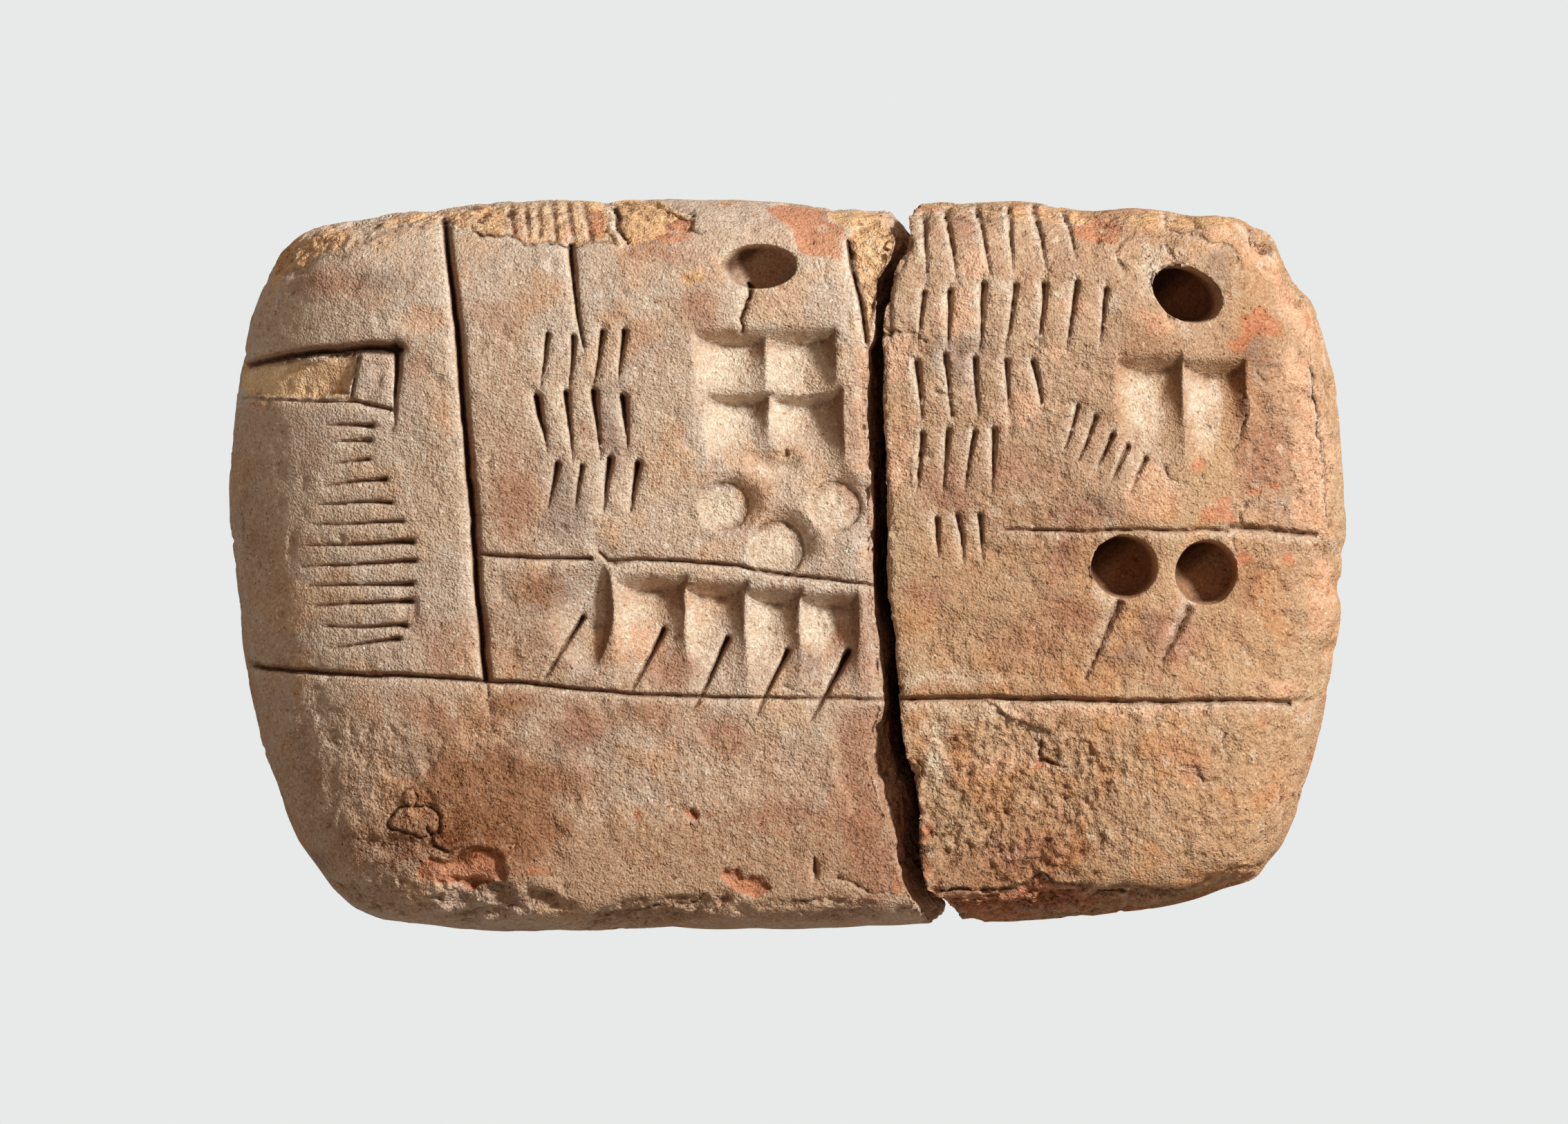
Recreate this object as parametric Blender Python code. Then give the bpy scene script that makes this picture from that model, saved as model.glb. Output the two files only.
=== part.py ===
"""Clay account tablet, broken across into two fragments that lie side by side.

The tablet is made the way the real one was: a soft clay cushion, ruled and pressed with a
reed stylus on its upper face, then fired and broken. The cushion is one rounded blank. Each
fragment is the blank kept on one side of the break, with the presses and grooves cut from it.
Every measure below is in millimetres, and MM turns it into Blender's metres. The origin is
the middle of the tablet's footprint on the surface it lies on, +X along its length, +Z up.
"""

import math

import bmesh
import bpy
from mathutils import Matrix

MM = 0.001

# Driving sizes of the whole tablet.
LENGTH = 68.0
WIDTH = 44.7
THICKNESS = 16.0

# The cushion's section: the height of its widest line, how far it rises above and would drop
# below that, and how square it is along the tablet and across it.
WAIST = 7.6
FACE_RISE = THICKNESS - WAIST
FACE_SQUARENESS = (4.5, 9.0, 40.0)
BACK_DROP = WAIST + 0.5
BACK_SQUARENESS = (5.0, 8.0, 8.0)
CAP_SHARE = 0.88
GRID_ALONG = 26
GRID_ACROSS = 17
GRID_UP = 8

# Plan of the blank, as points round its widest line, anticlockwise from the lower left.
PLAN = [
    (-33.7, -2.0), (-32.7, -8.0), (-30.6, -14.8), (-27.9, -19.3), (-24.4, -21.5), (-18.0, -22.3),
    (-8.0, -22.35), (6.0, -22.1), (16.0, -21.8), (24.5, -20.7), (28.8, -18.9), (30.9, -15.3),
    (32.4, -10.5), (33.6, -3.5), (34.0, 3.0), (33.2, 11.5), (31.4, 16.6), (29.4, 20.0),
    (26.0, 21.3), (18.0, 21.8), (10.0, 22.2), (0.0, 22.1), (-10.0, 22.35), (-18.0, 22.1),
    (-24.0, 21.5), (-28.2, 20.7), (-30.6, 19.0), (-32.4, 15.4), (-33.5, 10.5), (-34.0, 4.0),
]

# The break, from the lower edge to the upper one: the right side of the large fragment and
# the left side of the small one. Both lean the same way on their way down to the back.
LARGE_BREAK = [
    (8.0, -21.9), (8.2, -21.2), (7.7, -19.6), (7.1, -16.6), (6.8, -14.4), (6.1, -11.8), (5.9, -9.4),
    (5.6, -6.0), (5.2, -2.6), (5.1, 0.8), (5.3, 4.0), (5.0, 7.4), (4.9, 11.6), (5.2, 14.6),
    (5.6, 16.6), (6.3, 18.3), (6.9, 19.8), (6.6, 20.8), (5.9, 21.4), (4.6, 21.8),
]
SMALL_BREAK = [
    (11.2, -21.8), (10.1, -20.9), (8.4, -19.8), (8.0, -18.2), (7.8, -15.6), (7.3, -12.8),
    (6.85, -10.2), (6.75, -7.6), (6.25, -4.2), (6.0, -1.0), (6.0, 3.0), (5.8, 8.0), (5.65, 13.0),
    (5.9, 15.8), (6.4, 18.0), (7.3, 19.6), (7.4, 21.2), (7.9, 21.9),
]
BREAK_LEAN = 0.1
BEYOND = 12.0

# Deep holes of the round stylus: middle, long and short radius, turn of the long radius in
# degrees, depth, and the way the stylus leaned, as the shift of its tip.
DEEP_HOLES = [
    ((-1.75, 18.1), 2.35, 1.48, -4, 2.5, (0.8, -0.4)),
    ((24.35, 16.35), 2.25, 1.58, -22, 3.8, (-0.7, -0.1)),
    ((20.45, -0.15), 2.02, 1.95, 0, 3.0, (-0.25, 0.05)),
    ((25.4, -0.5), 1.98, 1.92, 60, 2.7, (-0.2, 0.0)),
]

# Shallow discs of the same stylus held upright: middle, radius, depth, and the side it sank to.
DISCS = [
    ((-3.8, 3.55), 1.62, 0.34, (0.20, 0.09)),
    ((2.9, 3.5), 1.62, 0.34, (0.20, 0.12)),
    ((-0.65, 0.95), 1.8, 0.50, (0.22, 0.15)),
]

# Long presses of the stylus laid over: the top of the head, width, length and head depth.
LONG_PRESSES = [
    ((-3.3, 14.3), 4.5, 5.4, 1.5),
    ((0.65, 14.35), 4.4, 5.6, 1.5),
    ((-2.95, 10.8), 4.1, 4.8, 1.5),
    ((0.95, 10.8), 4.6, 6.0, 1.6),
    ((-0.75, 7.95), 3.7, 3.0, 0.9),
    ((-12.45, 0.1), 3.2, 6.8, 1.0),
    ((-8.25, -0.6), 4.2, 7.2, 1.5),
    ((-4.4, -0.95), 3.8, 7.2, 1.5),
    ((-0.94, -1.3), 3.5, 6.8, 1.5),
    ((2.45, -1.6), 3.7, 6.2, 1.4),
    ((21.85, 12.7), 3.9, 7.6, 1.5),
    ((25.75, 12.5), 3.8, 6.8, 1.5),
]

# Ruled case lines, from a heavy start to a light end: points, start width and end width.
RULES = [
    ([(-20.65, 20.6), (-20.1, 16.0), (-19.6, 11.0), (-19.0, 4.0), (-18.7, -1.0), (-18.1, -6.9)], 0.7, 0.6),
    ([(-13.05, 19.1), (-12.8, 16.8), (-12.4, 13.4)], 0.7, 0.3),
    ([(-32.6, -6.2), (-26.0, -6.7), (-19.0, -7.0), (-12.0, -7.6), (-5.0, -8.0), (5.4, -8.15)], 0.5, 0.5),
    ([(-18.6, 0.6), (-13.0, 0.35), (-7.0, 0.3), (-2.4, -0.3), (1.0, -0.7), (4.9, -1.2)], 0.6, 0.5),
    ([(3.75, 19.2), (4.2, 16.8), (4.6, 13.8)], 0.7, 0.4),
    ([(13.3, 2.1), (20.0, 2.0), (26.8, 2.1), (31.8, 1.95)], 0.5, 0.7),
    ([(6.6, -8.15), (13.0, -8.1), (22.0, -8.2), (31.2, -8.2)], 0.5, 0.9),
    ([(-33.0, 12.1), (-30.0, 12.8), (-26.8, 13.1), (-23.5, 13.05)], 0.8, 1.0),
    ([(-23.6, 13.1), (-23.5, 8.7)], 0.8, 0.4),
]

# Slanting tally strokes, each from its deep head to its light tail.
TALLY = [
    ((-12.3, -3.2), (-14.6, -6.9)),
    ((-7.4, -3.9), (-9.3, -7.4)),
    ((-3.6, -4.5), (-5.4, -8.6)),
    ((0.1, -5.1), (-1.8, -8.9)),
    ((4.0, -5.2), (1.5, -9.4)),
    ((20.1, -2.3), (18.2, -6.6)),
    ((24.3, -2.8), (22.8, -5.8)),
]
TALLY_HEAD = 0.9
TALLY_TAIL = 0.2

# Ranks of shallow strokes that stand where the signs stood. Each is the middle of its first
# stroke, the step to the next, how many there are, the reach of one stroke from its light
# tail to its heavy head, how much longer each middle stroke is than the end ones, and width.
RANKS = [
    ((-26.4, 8.5), (0.0, -1.1), 3, (2.5, 0.15), 0.0, 0.5),
    ((-26.2, 4.9), (0.08, -1.22), 9, (3.3, 0.15), 3.4, 0.55),
    ((-14.6, 12.2), (1.55, 0.1), 4, (0.3, 2.7), 0.5, 0.6),
    ((-14.7, 8.4), (1.65, 0.05), 4, (-0.3, 3.0), 0.7, 0.7),
    ((-14.1, 4.7), (1.6, 0.0), 4, (0.35, 2.5), 0.5, 0.65),
    ((8.3, 19.2), (1.75, 0.2), 6, (-0.5, 3.6), 0.5, 0.6),
    ((8.0, 14.8), (1.85, 0.05), 7, (0.5, 3.4), 0.4, 0.6),
    ((8.0, 10.6), (1.8, 0.05), 5, (-0.4, 3.2), 0.5, 0.6),
    ((17.2, 8.2), (0.98, -0.74), 5, (0.9, 2.2), 0.2, 0.5),
    ((8.0, 6.2), (1.5, 0.0), 4, (0.35, 3.2), 0.6, 0.6),
    ((9.2, 1.6), (1.3, 0.0), 3, (-0.25, 2.4), 0.2, 0.5),
]

# Flakes lost from the surface: middle, half sizes, turn in degrees and depth.
FLAKES = [
    ((-30.0, 11.2), (3.4, 1.2), 4, 0.5),
    ((-29.6, 20.6), (4.6, 1.9), 28, 1.6),
    ((-8.0, 21.6), (2.4, 1.7), -12, 1.1),
    ((2.6, 21.4), (4.6, 1.5), -6, 1.0),
    ((15.6, 22.0), (4.6, 1.4), -4, 0.8),
    ((-19.4, -19.0), (2.6, 1.1), 6, 0.5),
    ((15.0, -21.0), (4.8, 1.5), 6, 1.3),
]

# How the tools are shaped, apart from the marks' own sizes. The room is how far a tool stands
# out above the face; shares are of the mark's own radius, depth or length.
TOOL_ROOM = 1.5
HOLE_TIP_SHARE = 0.84
HOLE_MOUTH_SHARE = 1.06
HOLE_CORNER = 0.42
DISC_FLARE = 1.25
ROUND_SIDES = 28
PRESS_SIDES = 40
PRESS_REACH = 1.4
PRESS_NARROWING = 0.6
PRESS_CUT = 0.5
STROKE_TAIL_SHARE = 1 / 3
FLAKE_FATNESS = 2.2
FLAKE_INSET = 0.93

WELD = 1e-4
NEARLY = 1e-6
SHARP_ANGLE = math.radians(35)

CLAY = (0.46, 0.33, 0.23, 1.0)
CLAY_ROUGHNESS = 0.9
WARM_CLAY = (0.50, 0.32, 0.19, 1.0)
WARM_CLAY_ROUGHNESS = 0.92


def spline(values, position):
    """The closed curve through evenly numbered values, at a position counted in values."""
    step = int(position) % len(values)
    before, start, end, after = (values[(step + k - 1) % len(values)] for k in range(4))
    part = position - int(position)
    slope = end - before
    bend = 2 * before - 5 * start + 4 * end - after
    turn = 3 * (start - end) + after - before
    return start + 0.5 * part * (slope + part * (bend + part * turn))


PLAN_ANGLES = [math.atan2(y, x) % math.tau for x, y in PLAN]
PLAN_RADII = [math.hypot(x, y) for x, y in PLAN]
PLAN_TURNS = [(angle - PLAN_ANGLES[0]) % math.tau for angle in PLAN_ANGLES] + [math.tau]


def plan_radius(angle):
    """How far the blank's widest line lies from the middle, in that direction."""
    turn = (angle - PLAN_ANGLES[0]) % math.tau
    step = max(k for k in range(len(PLAN)) if PLAN_TURNS[k] <= turn)
    part = (turn - PLAN_TURNS[step]) / (PLAN_TURNS[step + 1] - PLAN_TURNS[step])
    return spline(PLAN_RADII, step + min(part, 1 - NEARLY))


def squareness(shape, angle):
    """How square the section is in one direction, from that along the tablet and those across it
    towards its upper and lower edge."""
    turn = math.atan2(math.sin(angle) * LENGTH, math.cos(angle) * WIDTH)
    along, upper, lower = shape
    across = math.sin(turn) ** 2
    below = (lower - upper) * across**2 if math.sin(angle) < 0 else 0.0
    return along * math.cos(turn) ** 2 + upper * across + below


def face_height(x, y):
    """The height of the unmarked upper face above the surface the tablet lies on."""
    angle = math.atan2(y, x)
    share = min(1.0, math.hypot(x, y) / plan_radius(angle))
    return WAIST + FACE_RISE * math.sqrt(1.0 - share ** squareness(FACE_SQUARENESS, angle))


def clay_material(name, colour, roughness):
    material = bpy.data.materials.new(name)
    material.use_nodes = True
    shader = material.node_tree.nodes["Principled BSDF"]
    shader.inputs["Base Color"].default_value = colour
    shader.inputs["Roughness"].default_value = roughness
    shader.inputs["Metallic"].default_value = 0.0
    return material


def object_from(shape, name, collection):
    """A new object whose mesh is what the bmesh holds, turned from millimetres to metres."""
    bmesh.ops.recalc_face_normals(shape, faces=shape.faces)
    bmesh.ops.transform(shape, matrix=Matrix.Scale(MM, 4), verts=shape.verts)
    mesh = bpy.data.meshes.new(name)
    shape.to_mesh(mesh)
    shape.free()
    made = bpy.data.objects.new(name, mesh)
    collection.objects.link(made)
    return made


def shape_of_curve(curve, collection):
    """The curve's closed surface as a bmesh, its caps welded. The curve is used up."""
    drawn = bpy.data.objects.new(curve.name, curve)
    collection.objects.link(drawn)
    bpy.context.view_layer.update()
    evaluated = drawn.evaluated_get(bpy.context.evaluated_depsgraph_get())
    mesh = bpy.data.meshes.new_from_object(evaluated)
    shape = bmesh.new()
    shape.from_mesh(mesh)
    bmesh.ops.remove_doubles(shape, verts=shape.verts, dist=WELD)
    bpy.data.objects.remove(drawn)
    bpy.data.meshes.remove(mesh)
    return shape


def cutter(shape, name, collection):
    made = object_from(shape, name, collection)
    made.hide_render = True
    made.display_type = "WIRE"
    return made


def blank(name, collection):
    """The whole cushion: a gridded cube drawn out to the plan and rounded in section."""
    shape = bmesh.new()
    bmesh.ops.create_cube(shape, size=2.0)
    for axis, parts in enumerate((GRID_ALONG, GRID_ACROSS, GRID_UP)):
        along = [e for e in shape.edges if abs((e.verts[0].co - e.verts[1].co)[axis]) > NEARLY]
        bmesh.ops.subdivide_edges(shape, edges=along, cuts=parts - 1)
    for point in shape.verts:
        u, v, w = point.co
        angle = math.atan2(v * WIDTH, u * LENGTH)
        rise = FACE_RISE if w > 0 else -BACK_DROP
        power = squareness(FACE_SQUARENESS if w > 0 else BACK_SQUARENESS, angle)
        if abs(w) > 1 - NEARLY:
            share = CAP_SHARE * max(abs(u), abs(v))
            height = WAIST + rise * math.sqrt(1.0 - share**power)
        else:
            tilt = abs(w) * math.acos(CAP_SHARE ** (power / 2))
            share = math.cos(tilt) ** (2 / power)
            height = WAIST + rise * math.sin(tilt)
        reach = share * plan_radius(angle)
        point.co = (reach * math.cos(angle), reach * math.sin(angle), max(0.0, height))
    for axis, size in ((0, LENGTH), (1, WIDTH)):
        low = min(point.co[axis] for point in shape.verts)
        high = max(point.co[axis] for point in shape.verts)
        for point in shape.verts:
            point.co[axis] = (point.co[axis] - (low + high) / 2) * size / (high - low)
    return cutter(shape, name, collection)


def side_block(name, edge, far_x, collection):
    """Everything on one side of the break: a leaning block with the break as its edge."""
    low, high = -BEYOND, THICKNESS + BEYOND
    corners = [(far_x, -WIDTH), (edge[0][0], -WIDTH), *edge, (edge[-1][0], WIDTH), (far_x, WIDTH)]
    curve = bpy.data.curves.new(name, "CURVE")
    curve.dimensions = "2D"
    curve.fill_mode = "BOTH"
    curve.extrude = (high - low) / 2
    line = curve.splines.new("POLY")
    line.points.add(len(corners) - 1)
    for point, (x, y) in zip(line.points, corners):
        point.co = (x, y, 0, 1)
    line.use_cyclic_u = True
    shape = shape_of_curve(curve, collection)
    for point in shape.verts:
        point.co.z += (high + low) / 2
        point.co.x += BREAK_LEAN * (THICKNESS - point.co.z)
    return cutter(shape, name, collection)


def deep_hole(number, middle, long_radius, short_radius, turn, depth, lean, collection):
    """The round stylus pushed far in: a slightly tapering cylinder that leans towards its tip."""
    shape = bmesh.new()
    reach = depth + TOOL_ROOM
    bmesh.ops.create_cone(
        shape, cap_ends=True, segments=ROUND_SIDES, radius1=HOLE_TIP_SHARE,
        radius2=HOLE_MOUTH_SHARE, depth=reach,
    )
    tip = [edge for edge in shape.edges if all(v.co.z < 0 for v in edge.verts)]
    bmesh.ops.bevel(shape, geom=tip, offset=HOLE_CORNER, segments=3, affect="EDGES", profile=0.5)
    top = face_height(*middle)
    place = Matrix.Translation((*middle, top + reach / 2 - depth))
    turned = Matrix.Rotation(math.radians(turn), 4, "Z")
    spread = Matrix.Diagonal((long_radius, short_radius, 1, 1))
    bmesh.ops.transform(shape, matrix=place @ turned @ spread, verts=shape.verts)
    for point in shape.verts:
        sunk = (top - point.co.z) / depth
        point.co.x += lean[0] * sunk
        point.co.y += lean[1] * sunk
    cutter(shape, f"deep_hole_{number}", collection)


def disc_press(number, middle, radius, depth, sunk_side, collection):
    """The end of the round stylus set upright and pressed a little, deeper on one side."""
    shape = bmesh.new()
    reach = depth + TOOL_ROOM
    bmesh.ops.create_cone(
        shape, cap_ends=True, segments=ROUND_SIDES, radius1=radius, radius2=radius * DISC_FLARE,
        depth=reach,
    )
    x, y = middle
    place = Matrix.Translation((x, y, face_height(x, y) + reach / 2 - depth))
    bmesh.ops.transform(shape, matrix=place, verts=shape.verts)
    for point in shape.verts:
        point.co.z -= sunk_side[0] * (point.co.x - x) + sunk_side[1] * (point.co.y - y)
    cutter(shape, f"disc_press_{number}", collection)


def long_press(number, head, width, length, depth, collection):
    """The round stylus laid over: a cylinder that is deepest at its head and rises to its tail."""
    shape = bmesh.new()
    radius = (width**2 / 4 + depth**2) / (2 * depth)
    reach = length * PRESS_REACH
    slope = math.atan2(depth, length)
    bmesh.ops.create_cone(
        shape, cap_ends=True, segments=PRESS_SIDES, radius1=radius - depth * PRESS_NARROWING,
        radius2=radius, depth=reach,
    )
    rim = [point for point in shape.verts if point.co.z < 0]
    bmesh.ops.translate(shape, vec=(0, -radius, -reach / 2), verts=shape.verts)
    slice_at = depth * PRESS_CUT - reach
    bmesh.ops.bisect_plane(
        shape, geom=[*shape.verts, *shape.edges, *shape.faces], plane_co=(0, 0, slice_at),
        plane_no=(0, 0, 1),
    )
    for point in shape.verts:
        if point not in rim and abs(point.co.z - slice_at) < WELD:
            middle_y = point.co.y + radius
            out = math.hypot(point.co.x, middle_y)
            point.co.x *= radius / out
            point.co.y = middle_y * radius / out - radius
    lay = Matrix.Rotation(math.radians(90) - slope, 4, "X")
    bmesh.ops.transform(shape, matrix=lay, verts=shape.verts)
    x, y = head
    lowest = min(point.co.z for point in shape.verts)
    furthest = max(point.co.y for point in shape.verts)
    top = face_height(x, y - length / 2)
    bmesh.ops.translate(shape, vec=(x, y - furthest, top - depth - lowest), verts=shape.verts)
    cutter(shape, f"long_press_{number}", collection)


def groove(name, points, start_width, end_width, collection):
    """A groove cut with the stylus edge: a bar of diamond section laid along the face."""
    curve = bpy.data.curves.new(name, "CURVE")
    curve.dimensions = "3D"
    curve.twist_mode = "Z_UP"
    curve.bevel_depth = 1.0
    curve.bevel_resolution = 0
    curve.use_fill_caps = True
    line = curve.splines.new("POLY")
    line.points.add(len(points) - 1)
    for step, (x, y) in enumerate(points):
        share = step / (len(points) - 1)
        line.points[step].co = (x, y, face_height(x, y), 1)
        line.points[step].radius = (start_width + share * (end_width - start_width)) / 2
    cutter(shape_of_curve(curve, collection), name, collection)


def stroke_rank(number, first, step, count, reach, swell, width, collection):
    """A row of strokes side by side, heavy at the head and light at the tail."""
    length = math.hypot(*reach)
    for place in range(count):
        x = first[0] + place * step[0]
        y = first[1] + place * step[1]
        bulge = math.sin(math.pi * (place + 0.5) / count) if count > 1 else 1.0
        half = (length + swell * bulge) / length / 2
        tail = (x - reach[0] * half, y - reach[1] * half)
        head = (x + reach[0] * half, y + reach[1] * half)
        groove(f"stroke_{number}_{place + 1}", [head, tail], width, width * STROKE_TAIL_SHARE, collection)


def lost_flake(number, middle, half_sizes, turn, depth, collection):
    """A shallow scoop where a flake of the surface has come away."""
    shape = bmesh.new()
    bmesh.ops.create_icosphere(shape, subdivisions=2, radius=1.0)
    x, y = middle
    share = math.hypot(x, y) / plan_radius(math.atan2(y, x))
    inner = min(1.0, FLAKE_INSET / share)
    thick = FLAKE_FATNESS * depth
    place = Matrix.Translation((x, y, face_height(x * inner, y * inner) + thick - depth))
    turned = Matrix.Rotation(math.radians(turn), 4, "Z")
    spread = Matrix.Diagonal((*half_sizes, thick, 1))
    bmesh.ops.transform(shape, matrix=place @ turned @ spread, verts=shape.verts)
    cutter(shape, f"lost_flake_{number}", collection)


def fragment(name, cushion, side, presses, material, collection):
    """The cushion kept on one side of the break, less every press and groove."""
    made = bpy.data.objects.new(name, cushion.data.copy())
    made.data.name = name
    collection.objects.link(made)
    keep = made.modifiers.new("keep_one_side", "BOOLEAN")
    keep.operation = "INTERSECT"
    keep.object = side
    press = made.modifiers.new("presses", "BOOLEAN")
    press.operation = "DIFFERENCE"
    press.operand_type = "COLLECTION"
    press.collection = presses
    made.data.materials.append(material)
    made.data.shade_smooth()
    made.data.set_sharp_from_angle(angle=SHARP_ANGLE)
    return made


def collection_in(parent, name):
    made = bpy.data.collections.new(name)
    parent.children.link(made)
    return made


def main():
    for found in list(bpy.data.objects):
        bpy.data.objects.remove(found)
    scene = bpy.context.scene.collection
    tablet = collection_in(scene, "clay_tablet")
    cutters = collection_in(scene, "cutters")
    presses = collection_in(cutters, "presses")

    for number, hole in enumerate(DEEP_HOLES, 1):
        deep_hole(number, *hole, presses)
    for number, disc in enumerate(DISCS, 1):
        disc_press(number, *disc, presses)
    for number, press in enumerate(LONG_PRESSES, 1):
        long_press(number, *press, presses)
    for number, (points, start_width, end_width) in enumerate(RULES, 1):
        groove(f"rule_{number}", points, start_width, end_width, presses)
    for number, (head, tail) in enumerate(TALLY, 1):
        groove(f"tally_{number}", [head, tail], TALLY_HEAD, TALLY_TAIL, presses)
    for number, rank in enumerate(RANKS, 1):
        stroke_rank(number, *rank, presses)
    for number, flake in enumerate(FLAKES, 1):
        lost_flake(number, *flake, presses)

    cushion = blank("cushion", cutters)
    large_side = side_block("large_side", LARGE_BREAK, -LENGTH, cutters)
    small_side = side_block("small_side", SMALL_BREAK, LENGTH, cutters)
    clay = clay_material("clay", CLAY, CLAY_ROUGHNESS)
    warm_clay = clay_material("warm_clay", WARM_CLAY, WARM_CLAY_ROUGHNESS)
    fragment("large_fragment", cushion, large_side, presses, clay, tablet)
    fragment("small_fragment", cushion, small_side, presses, warm_clay, tablet)


main()
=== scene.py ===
import math

import bpy
import numpy as np
from mathutils import Matrix, Vector


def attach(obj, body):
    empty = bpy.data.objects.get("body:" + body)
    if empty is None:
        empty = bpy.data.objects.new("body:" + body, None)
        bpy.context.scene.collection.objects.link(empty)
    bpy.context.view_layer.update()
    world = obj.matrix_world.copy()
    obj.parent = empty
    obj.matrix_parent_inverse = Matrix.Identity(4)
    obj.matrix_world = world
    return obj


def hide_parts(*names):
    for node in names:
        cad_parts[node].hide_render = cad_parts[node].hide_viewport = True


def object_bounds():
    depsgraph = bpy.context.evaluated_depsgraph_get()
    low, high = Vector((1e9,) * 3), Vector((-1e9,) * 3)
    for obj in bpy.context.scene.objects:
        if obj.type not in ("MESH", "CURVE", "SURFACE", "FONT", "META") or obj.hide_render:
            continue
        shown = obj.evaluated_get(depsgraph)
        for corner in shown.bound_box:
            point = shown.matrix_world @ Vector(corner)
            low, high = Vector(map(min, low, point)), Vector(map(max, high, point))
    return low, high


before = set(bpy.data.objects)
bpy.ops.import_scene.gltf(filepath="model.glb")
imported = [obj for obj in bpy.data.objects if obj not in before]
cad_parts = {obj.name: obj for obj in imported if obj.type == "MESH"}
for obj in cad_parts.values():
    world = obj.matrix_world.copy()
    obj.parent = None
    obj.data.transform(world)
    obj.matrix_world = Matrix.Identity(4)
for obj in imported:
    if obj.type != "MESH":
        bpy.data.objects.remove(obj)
cad_low, cad_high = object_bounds()

# ---------------------------------------------------------------------------------------------
# Sizes in millimetres. The clay is shaped in millimetres and turned into metres at the end.
# ---------------------------------------------------------------------------------------------

MM = 0.001
LENGTH = (cad_high.x - cad_low.x) / MM
WIDTH = (cad_high.y - cad_low.y) / MM
THICKNESS = (cad_high.z - cad_low.z) / MM

# The cushion's section: the height of its widest line, how far the face rises above it and the
# back drops below it, and how square each is along the tablet and towards its upper and lower edge.
WAIST = 7.6
FACE_ROOM = 0.06
FACE_RISE = THICKNESS - WAIST - FACE_ROOM
BACK_DROP = WAIST + 0.5
FACE_SQUARENESS = (4.5, 9.0, 40.0)
BACK_SQUARENESS = (5.0, 8.0, 8.0)

# How far out the flat ends of the gridded cube reach, as a share of the radius, and the room that
# is kept between the clay and the tablet's full length, width and height.
CAP_SHARE = 0.88
RIM_ROOM = 0.03
TOP_ROOM = 0.01

# How finely the clay is made, the triangles each fragment keeps, and how little of the thinning
# falls on the face.
CUSHION_CUTS = 130
BREAK_CUTS = 100
CLAY_GRAIN = 0.1
TRIANGLES = {"large_fragment": 196000, "small_fragment": 170000}
FACE_CARE = 0.004

# The widest line of the tablet, anticlockwise from its left end.
OUTLINE = [
    (-34.0, 4.5), (-33.9, 2.0), (-33.6, 0.0), (-33.3, -3.0), (-32.8, -7.2), (-32.3, -9.5),
    (-31.7, -11.8), (-31.0, -13.3), (-30.4, -15.2), (-29.7, -16.8), (-28.6, -18.3),
    (-27.6, -19.7), (-26.3, -20.9), (-24.6, -21.6), (-22.0, -21.95), (-19.0, -22.25),
    (-17.0, -22.35), (-14.0, -22.25), (-10.0, -22.15), (-7.0, -22.0), (-2.0, -22.1),
    (2.0, -22.1), (5.0, -21.95), (8.0, -21.85), (11.0, -21.65), (12.0, -21.75), (14.0, -21.7),
    (16.0, -21.55), (18.0, -21.45), (20.0, -21.15), (23.0, -20.8), (25.0, -20.3), (26.5, -19.7),
    (28.0, -19.3), (28.6, -19.0), (29.2, -18.1), (30.0, -17.2), (30.4, -16.4), (31.0, -15.0),
    (31.6, -13.0), (32.1, -11.3), (32.5, -9.7), (32.8, -8.0), (33.0, -7.0), (33.2, -5.5),
    (33.5, -4.3), (33.7, -3.0), (33.5, -1.3), (33.7, -0.6), (33.75, 0.3), (33.6, 0.9),
    (33.95, 1.2), (34.0, 2.5), (33.9, 4.0), (33.8, 6.0), (33.7, 8.0), (33.6, 9.5), (33.3, 11.5),
    (32.9, 13.0), (32.5, 14.3), (32.1, 15.5), (31.8, 16.2), (31.3, 16.5), (31.1, 16.9),
    (30.5, 17.9), (30.0, 18.7), (29.8, 19.3), (29.5, 19.9), (28.9, 20.5), (28.3, 20.4),
    (28.0, 20.85), (27.3, 21.15), (26.3, 21.3), (25.0, 21.2), (24.0, 21.3), (23.0, 21.55),
    (22.0, 21.65), (21.0, 21.75), (20.0, 21.6), (19.0, 21.5), (18.0, 21.5), (17.0, 21.65),
    (16.0, 21.85), (15.0, 22.05), (13.5, 22.2), (12.0, 22.1), (10.5, 22.1), (9.5, 22.2),
    (8.1, 22.0), (6.5, 21.8), (5.3, 21.65), (4.2, 21.75), (3.0, 21.65), (1.5, 21.8),
    (0.0, 22.0), (-2.0, 22.1), (-6.0, 22.25), (-8.0, 22.3), (-10.2, 22.25), (-10.9, 22.0),
    (-11.6, 22.2), (-15.0, 22.25), (-18.0, 22.1), (-20.0, 21.9), (-21.5, 21.65), (-23.5, 21.5),
    (-25.3, 21.1), (-26.5, 20.95), (-28.4, 20.7), (-29.6, 20.1), (-30.9, 18.9), (-31.5, 17.7),
    (-32.0, 16.5), (-32.6, 15.0), (-33.0, 13.0), (-33.4, 11.0), (-33.7, 9.0), (-33.9, 6.5),
]

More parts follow.
